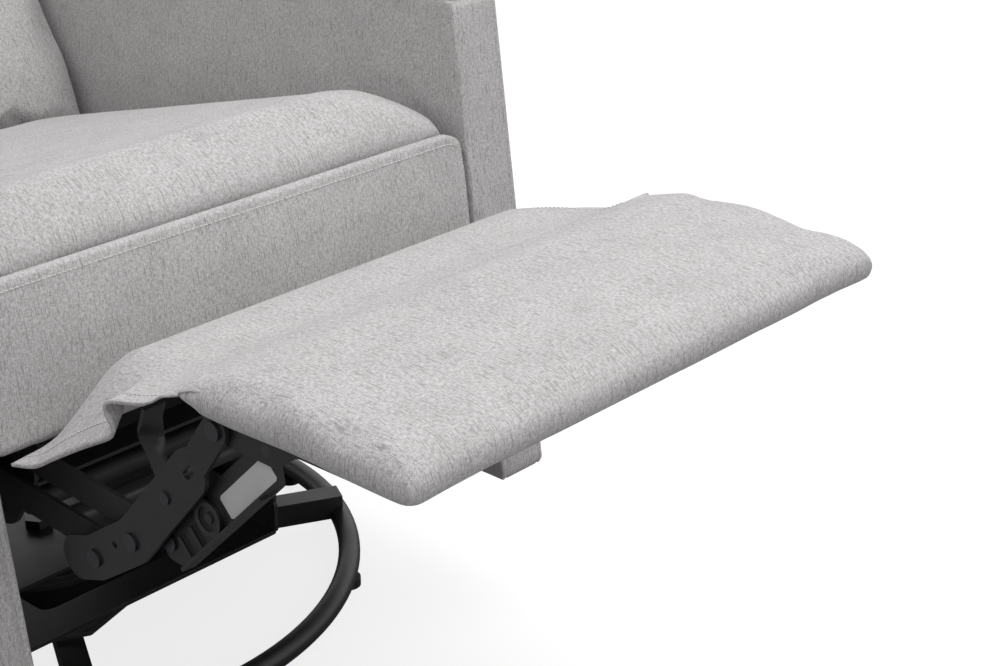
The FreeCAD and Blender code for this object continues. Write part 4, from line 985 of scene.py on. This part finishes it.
def flap_surface(rows, cols):
    """The leg flap between the seat front and the footrest pad, as points (row, column, xyz).

    Across the middle it follows one line. Each free edge has its own line: the far one lies a
    little lower, the near one sags in front and curls under once. From the middle line to an edge
    line the share grows over the outer strip as s^1.3.
    """
    middle = corners_mm((364.3, 357.6), (385, 392), (410, 424), (438, 446), (466, 453), (500, 454),
                        (530, 462), (552, 474.5), (572, 484), (600, 494))
    far = corners_mm((364.3, 357.6), (386, 386), (409, 416), (438, 435), (461, 441), (495, 450),
                     (519, 455.5), (533, 464), (552, 476), (575, 486), (600, 494))
    near = corners_mm((372, 357), (401, 364), (428, 381), (466, 403), (499, 421), (505, 429),
                      (494, 434), (489, 441), (496, 449), (510, 452), (530, 457), (546, 462),
                      (560, 474), (580, 486), (600, 493))
    x = np.linspace(-FLAP_HALF, FLAP_HALF, cols)
    middle, far, near = (smooth_path(line, rows) for line in (middle, far, near))
    surface = np.broadcast_to(middle[:, None], (rows, cols, 2)).copy()
    for line, sign, reach in ((far, 1, 0.045), (near, -1, 0.069)):
        share = np.clip((sign * x - (FLAP_HALF - reach)) / reach, 0, 1) ** 1.3
        surface += (line - middle)[:, None] * share[None, :, None]
    return side_place(surface[..., 0], surface[..., 1], np.broadcast_to(x, (rows, cols)))


def make_flap(pad):
    """Leg flap: a woven sheet with a paler backing and a turned hem along each free edge. Its last
    rows lie on the footrest pad, and the very last dive into it, where the cloths are one."""
    free_rows, hem_columns, cloth = 84, 6, 1.4 * MM
    grid = flap_surface(110, 170)
    onto = -grid[..., 1] > 0.5565
    grid[onto] = on_surface(grid[onto], pad, 0.9 * MM)
    grid[..., 2] -= 2.4 * MM * np.clip((-grid[..., 1] - 0.578) / 0.020, 0, 1)
    points, faces = open_grid(grid)
    piece = new_piece("leg_flap", points, faces, finish("cloth"), finish("lining"))
    upward = np.zeros(len(piece.data.polygons) * 3, np.float32)
    piece.data.polygons.foreach_get("normal", upward)
    if upward[2::3].mean() < 0:
        piece.data.flip_normals()
    wall = piece.modifiers.new("thickness", "SOLIDIFY")
    wall.thickness = cloth
    wall.offset = -1.0
    wall.material_offset = 1
    wall.material_offset_rim = 0
    bake_modifiers(piece)
    lay_cloth(piece)
    hems = []
    for hand, columns in (("right", slice(0, hem_columns)), ("left", slice(-hem_columns, None))):
        strip = grid[:free_rows, columns]
        below = np.cross(np.gradient(strip, axis=0), np.gradient(strip, axis=1))
        below /= np.linalg.norm(below, axis=2, keepdims=True)
        below *= -1 if (below[..., 2].mean() > 0) else 1
        hem_points, hem_faces = open_grid(strip + below * 1.6 * MM)
        hem = new_piece(f"leg_flap_hem_{hand}", hem_points, hem_faces, finish("cloth"))
        fold = hem.modifiers.new("thickness", "SOLIDIFY")
        fold.thickness = cloth
        fold.offset = 0.0
        bake_modifiers(hem)
        lay_cloth(hem)
        dress(hem, "footrest")
        hems.append(hem)
    dress(piece, "footrest", "footrest_flap")
    rows = []
    for hand, column in (("right", 4), ("left", -5)):
        path = grid[2:free_rows, column]
        rows.append(sew(piece, f"leg_flap_stitching_{hand}", path, "footrest"))
    for part in (piece, *hems, *rows):
        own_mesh(part)
    return piece


def make_sticker():
    """A blank pale sticker on the right toggle channel, a thin plate with rounded corners. The
    channel's own directions run from its lower pivot to its upper one, and square to that."""
    pivot, along = np.array([520.0, 337.4]) * MM, np.array([0.7096, 0.7046])
    square = np.array([along[1], -along[0]])
    plate = ((80, 0.5), (148, 0.5), (148, 18.5), (80, 18.5))
    corners = [pivot + along * u * MM + square * v * MM for u, v in plate]
    outline = rounded_outline(corners, 1.5 * MM, 3 * MM)
    face = -0.226
    points, faces = body_between(outline, face - 0.4 * MM, face - 0.1 * MM, 0.1 * MM, side_place,
                                 spacing=4 * MM)
    piece = new_piece("blank_sticker", points, faces, finish("paper"))
    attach(piece, "toggles")
    return piece


def paint_nodes():
    """Gives every carried-over steel, wood and plastic node the material of its slot."""
    for part in frame["record"]["subparts"]:
        name = part["material_slot"]
        if name != "grey_weave":
            for slot in frame["nodes"][part["node"]].material_slots:
                slot.material = finish(name)


# Stage


def studio_white(settings):
    """Matte studio floor paint: the camera sees it nearly white, with the chair's soft shadow, and
    it throws little light back under the chair."""
    material, tree = new_material("matte_studio_floor")
    seen = add_node(tree, "ShaderNodeLightPath").outputs["Is Camera Ray"]
    share = settings.floor_bounce
    matte = add_node(tree, "ShaderNodeBsdfDiffuse", {"Color": (share, share, share, 1.0)})
    white = {"Color": (1, 1, 1, 1), "Strength": settings.floor_white}
    glow = add_node(tree, "ShaderNodeEmission", white)
    both = add_node(tree, "ShaderNodeAddShader", {0: matte.outputs[0], 1: glow.outputs[0]})
    mix = add_node(tree, "ShaderNodeMixShader", {0: seen, 1: matte.outputs[0], 2: both.outputs[0]})
    finish_material(tree, mix)
    return material


def make_floor(settings):
    """A flat pale floor."""
    half = settings.floor_side / 2
    line = np.linspace(-half, half, 9)
    x, y = np.meshgrid(line, line)
    points, faces = open_grid(np.stack([x, y, np.zeros_like(x)], -1))
    floor = new_piece("studio_floor", points, faces, studio_white(settings))


def make_lamp(name, place, target, side, power):
    """A square softbox at a place, turned to a target."""
    lamp = bpy.data.lights.new(name, "AREA")
    lamp.shape = "SQUARE"
    lamp.size = side
    lamp.energy = power
    holder = bpy.data.objects.new(name, lamp)
    holder.location = place
    holder.rotation_mode = "QUATERNION"
    holder.rotation_quaternion = (Vector(target) - Vector(place)).to_track_quat("-Z", "Y")
    bpy.context.scene.collection.objects.link(holder)


def light_world(settings):
    """White light from all round, dimmer towards the horizon, which darkens what the footrest and
    the arms close in; the camera, gloss and clear pieces see it at full white."""
    world = bpy.data.worlds.new("studio")
    bpy.context.scene.world = world
    world.use_nodes = True
    tree = world.node_tree
    tree.nodes.clear()
    rays = add_node(tree, "ShaderNodeLightPath").outputs
    seen = rays["Is Camera Ray"]
    for other in ("Is Glossy Ray", "Is Transmission Ray"):
        seen = maths(tree, "MAXIMUM", seen, rays[other])
    aim = add_node(tree, "ShaderNodeTexCoord").outputs["Generated"]
    height = add_node(tree, "ShaderNodeSeparateXYZ", {0: aim}).outputs[2]
    ends = (settings.fill * settings.horizon, settings.fill * (3 - settings.horizon) / 2)
    shade = span(tree, height, (0.0, 1.0), ends)
    dim = add_node(tree, "ShaderNodeBackground", {"Color": (1, 1, 1, 1), "Strength": shade})
    white = add_node(tree, "ShaderNodeBackground", {"Color": (1, 1, 1, 1), "Strength": 1.0})
    mix = add_node(tree, "ShaderNodeMixShader", {0: seen, 1: dim.outputs[0], 2: white.outputs[0]})
    add_node(tree, "ShaderNodeOutputWorld", {"Surface": mix.outputs[0]})


def make_stage():
    """Floor, even light, two softboxes and the camera at the photograph's angle."""
    settings = bpy.context.scene.recliner_stage
    make_floor(settings)
    light_world(settings)
    make_lamp("overhead_softbox", (0.5, -0.9, 2.9), (0.0, -0.3, 0.4), 2.2, settings.key_power)
    make_lamp("front_softbox", (0.4, -3.2, 0.9), (0.0, -0.3, 0.4), 1.8, settings.front_power)
    camera = bpy.data.cameras.new("photo_camera")
    camera.sensor_width = 36.0
    camera.lens = settings.lens
    camera.clip_start, camera.clip_end = 0.05, 60.0
    holder = bpy.data.objects.new("photo_camera", camera)
    holder.location = settings.camera_at
    holder.rotation_mode = "QUATERNION"
    holder.rotation_quaternion = Vector(settings.camera_towards).to_track_quat("-Z", "Y")
    bpy.context.scene.collection.objects.link(holder)
    bpy.context.scene.camera = holder
    bpy.context.scene.view_settings.view_transform = "Standard"


# Operators


class RECLINER_OT_seat(bpy.types.Operator):
    """Makes the seat cushion, its front panel and the stitching between them"""

    bl_idname = "recliner.make_seat"
    bl_label = "Seat"

    def execute(self, context):
        make_seat()
        make_fascia()
        return {"FINISHED"}


class RECLINER_OT_back(bpy.types.Operator):
    """Makes the three back cushions and the rear cover"""

    bl_idname = "recliner.make_back"
    bl_label = "Back"

    def execute(self, context):
        arms = [((side * BETWEEN_ARMS, 0, 0), (side, 0, 0)) for side in (1, -1)]
        make_back_cushion("back_cushion_lumbar", -12, 246, 21, 0.256, arms)
        make_back_cushion("back_cushion_middle", 246.6, 474, 22, 0.297)
        make_back_cushion("back_cushion_head", 474.6, 690, 26, 0.297)
        make_back_shell()
        return {"FINISHED"}


class RECLINER_OT_arms(bpy.types.Operator):
    """Makes both arms and their padded tops"""

    bl_idname = "recliner.make_arms"
    bl_label = "Arms"

    def execute(self, context):
        for side, hand in ((1, "left"), (-1, "right")):
            make_arm(side, hand)
            make_arm_pad(side, hand)
        make_arm_boards()
        return {"FINISHED"}


class RECLINER_OT_footrest(bpy.types.Operator):
    """Makes the footrest pad and the leg flap"""

    bl_idname = "recliner.make_footrest"
    bl_label = "Footrest"

    def execute(self, context):
        pad = make_footrest_pad()
        make_flap(pad)
        return {"FINISHED"}


class RECLINER_OT_hardware(bpy.types.Operator):
    """Paints the steel, wood, webbing and plastic pieces and adds the blank sticker"""

    bl_idname = "recliner.finish_hardware"
    bl_label = "Hardware"

    def execute(self, context):
        paint_nodes()
        make_sticker()
        return {"FINISHED"}


class RECLINER_OT_stage(bpy.types.Operator):
    """Makes the floor, lamps and camera"""

    bl_idname = "recliner.make_stage"
    bl_label = "Stage"

    def execute(self, context):
        make_stage()
        return {"FINISHED"}


class RECLINER_PT_panel(bpy.types.Panel):
    """Lists the recliner's pieces"""

    bl_label = "Recliner"
    bl_idname = "RECLINER_PT_panel"
    bl_space_type = "VIEW_3D"
    bl_region_type = "UI"
    bl_category = "Recliner"

    def draw(self, context):
        for operator in OPERATORS:
            self.layout.operator(operator.bl_idname)
        for name in SETTINGS:
            group = getattr(context.scene, name)
            box = self.layout.box()
            for setting in group.bl_rna.properties.keys()[1:]:
                if setting != "name":
                    box.prop(group, setting)


OPERATORS = (
    RECLINER_OT_stage, RECLINER_OT_hardware, RECLINER_OT_seat, RECLINER_OT_back,
    RECLINER_OT_arms, RECLINER_OT_footrest,
)
SETTINGS = {
    "recliner_cloth": ClothSettings,
    "recliner_steel": SteelSettings,
    "recliner_cushions": CushionSettings,
    "recliner_stitches": StitchSettings,
    "recliner_stage": StageSettings,
}


def register():
    for group in SETTINGS.values():
        bpy.utils.register_class(group)
    for name, group in SETTINGS.items():
        setattr(bpy.types.Scene, name, bpy.props.PointerProperty(type=group))
    for kind in (*OPERATORS, RECLINER_PT_panel):
        bpy.utils.register_class(kind)


def unregister():
    for kind in (RECLINER_PT_panel, *reversed(OPERATORS)):
        bpy.utils.unregister_class(kind)
    for name, group in SETTINGS.items():
        delattr(bpy.types.Scene, name)
        bpy.utils.unregister_class(group)


def main():
    """Registers the add-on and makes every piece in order."""
    register()
    bpy.ops.recliner.make_stage()
    bpy.ops.recliner.finish_hardware()
    bpy.ops.recliner.make_seat()
    bpy.ops.recliner.make_back()
    bpy.ops.recliner.make_arms()
    bpy.ops.recliner.make_footrest()


if __name__ == "__main__":
    main()
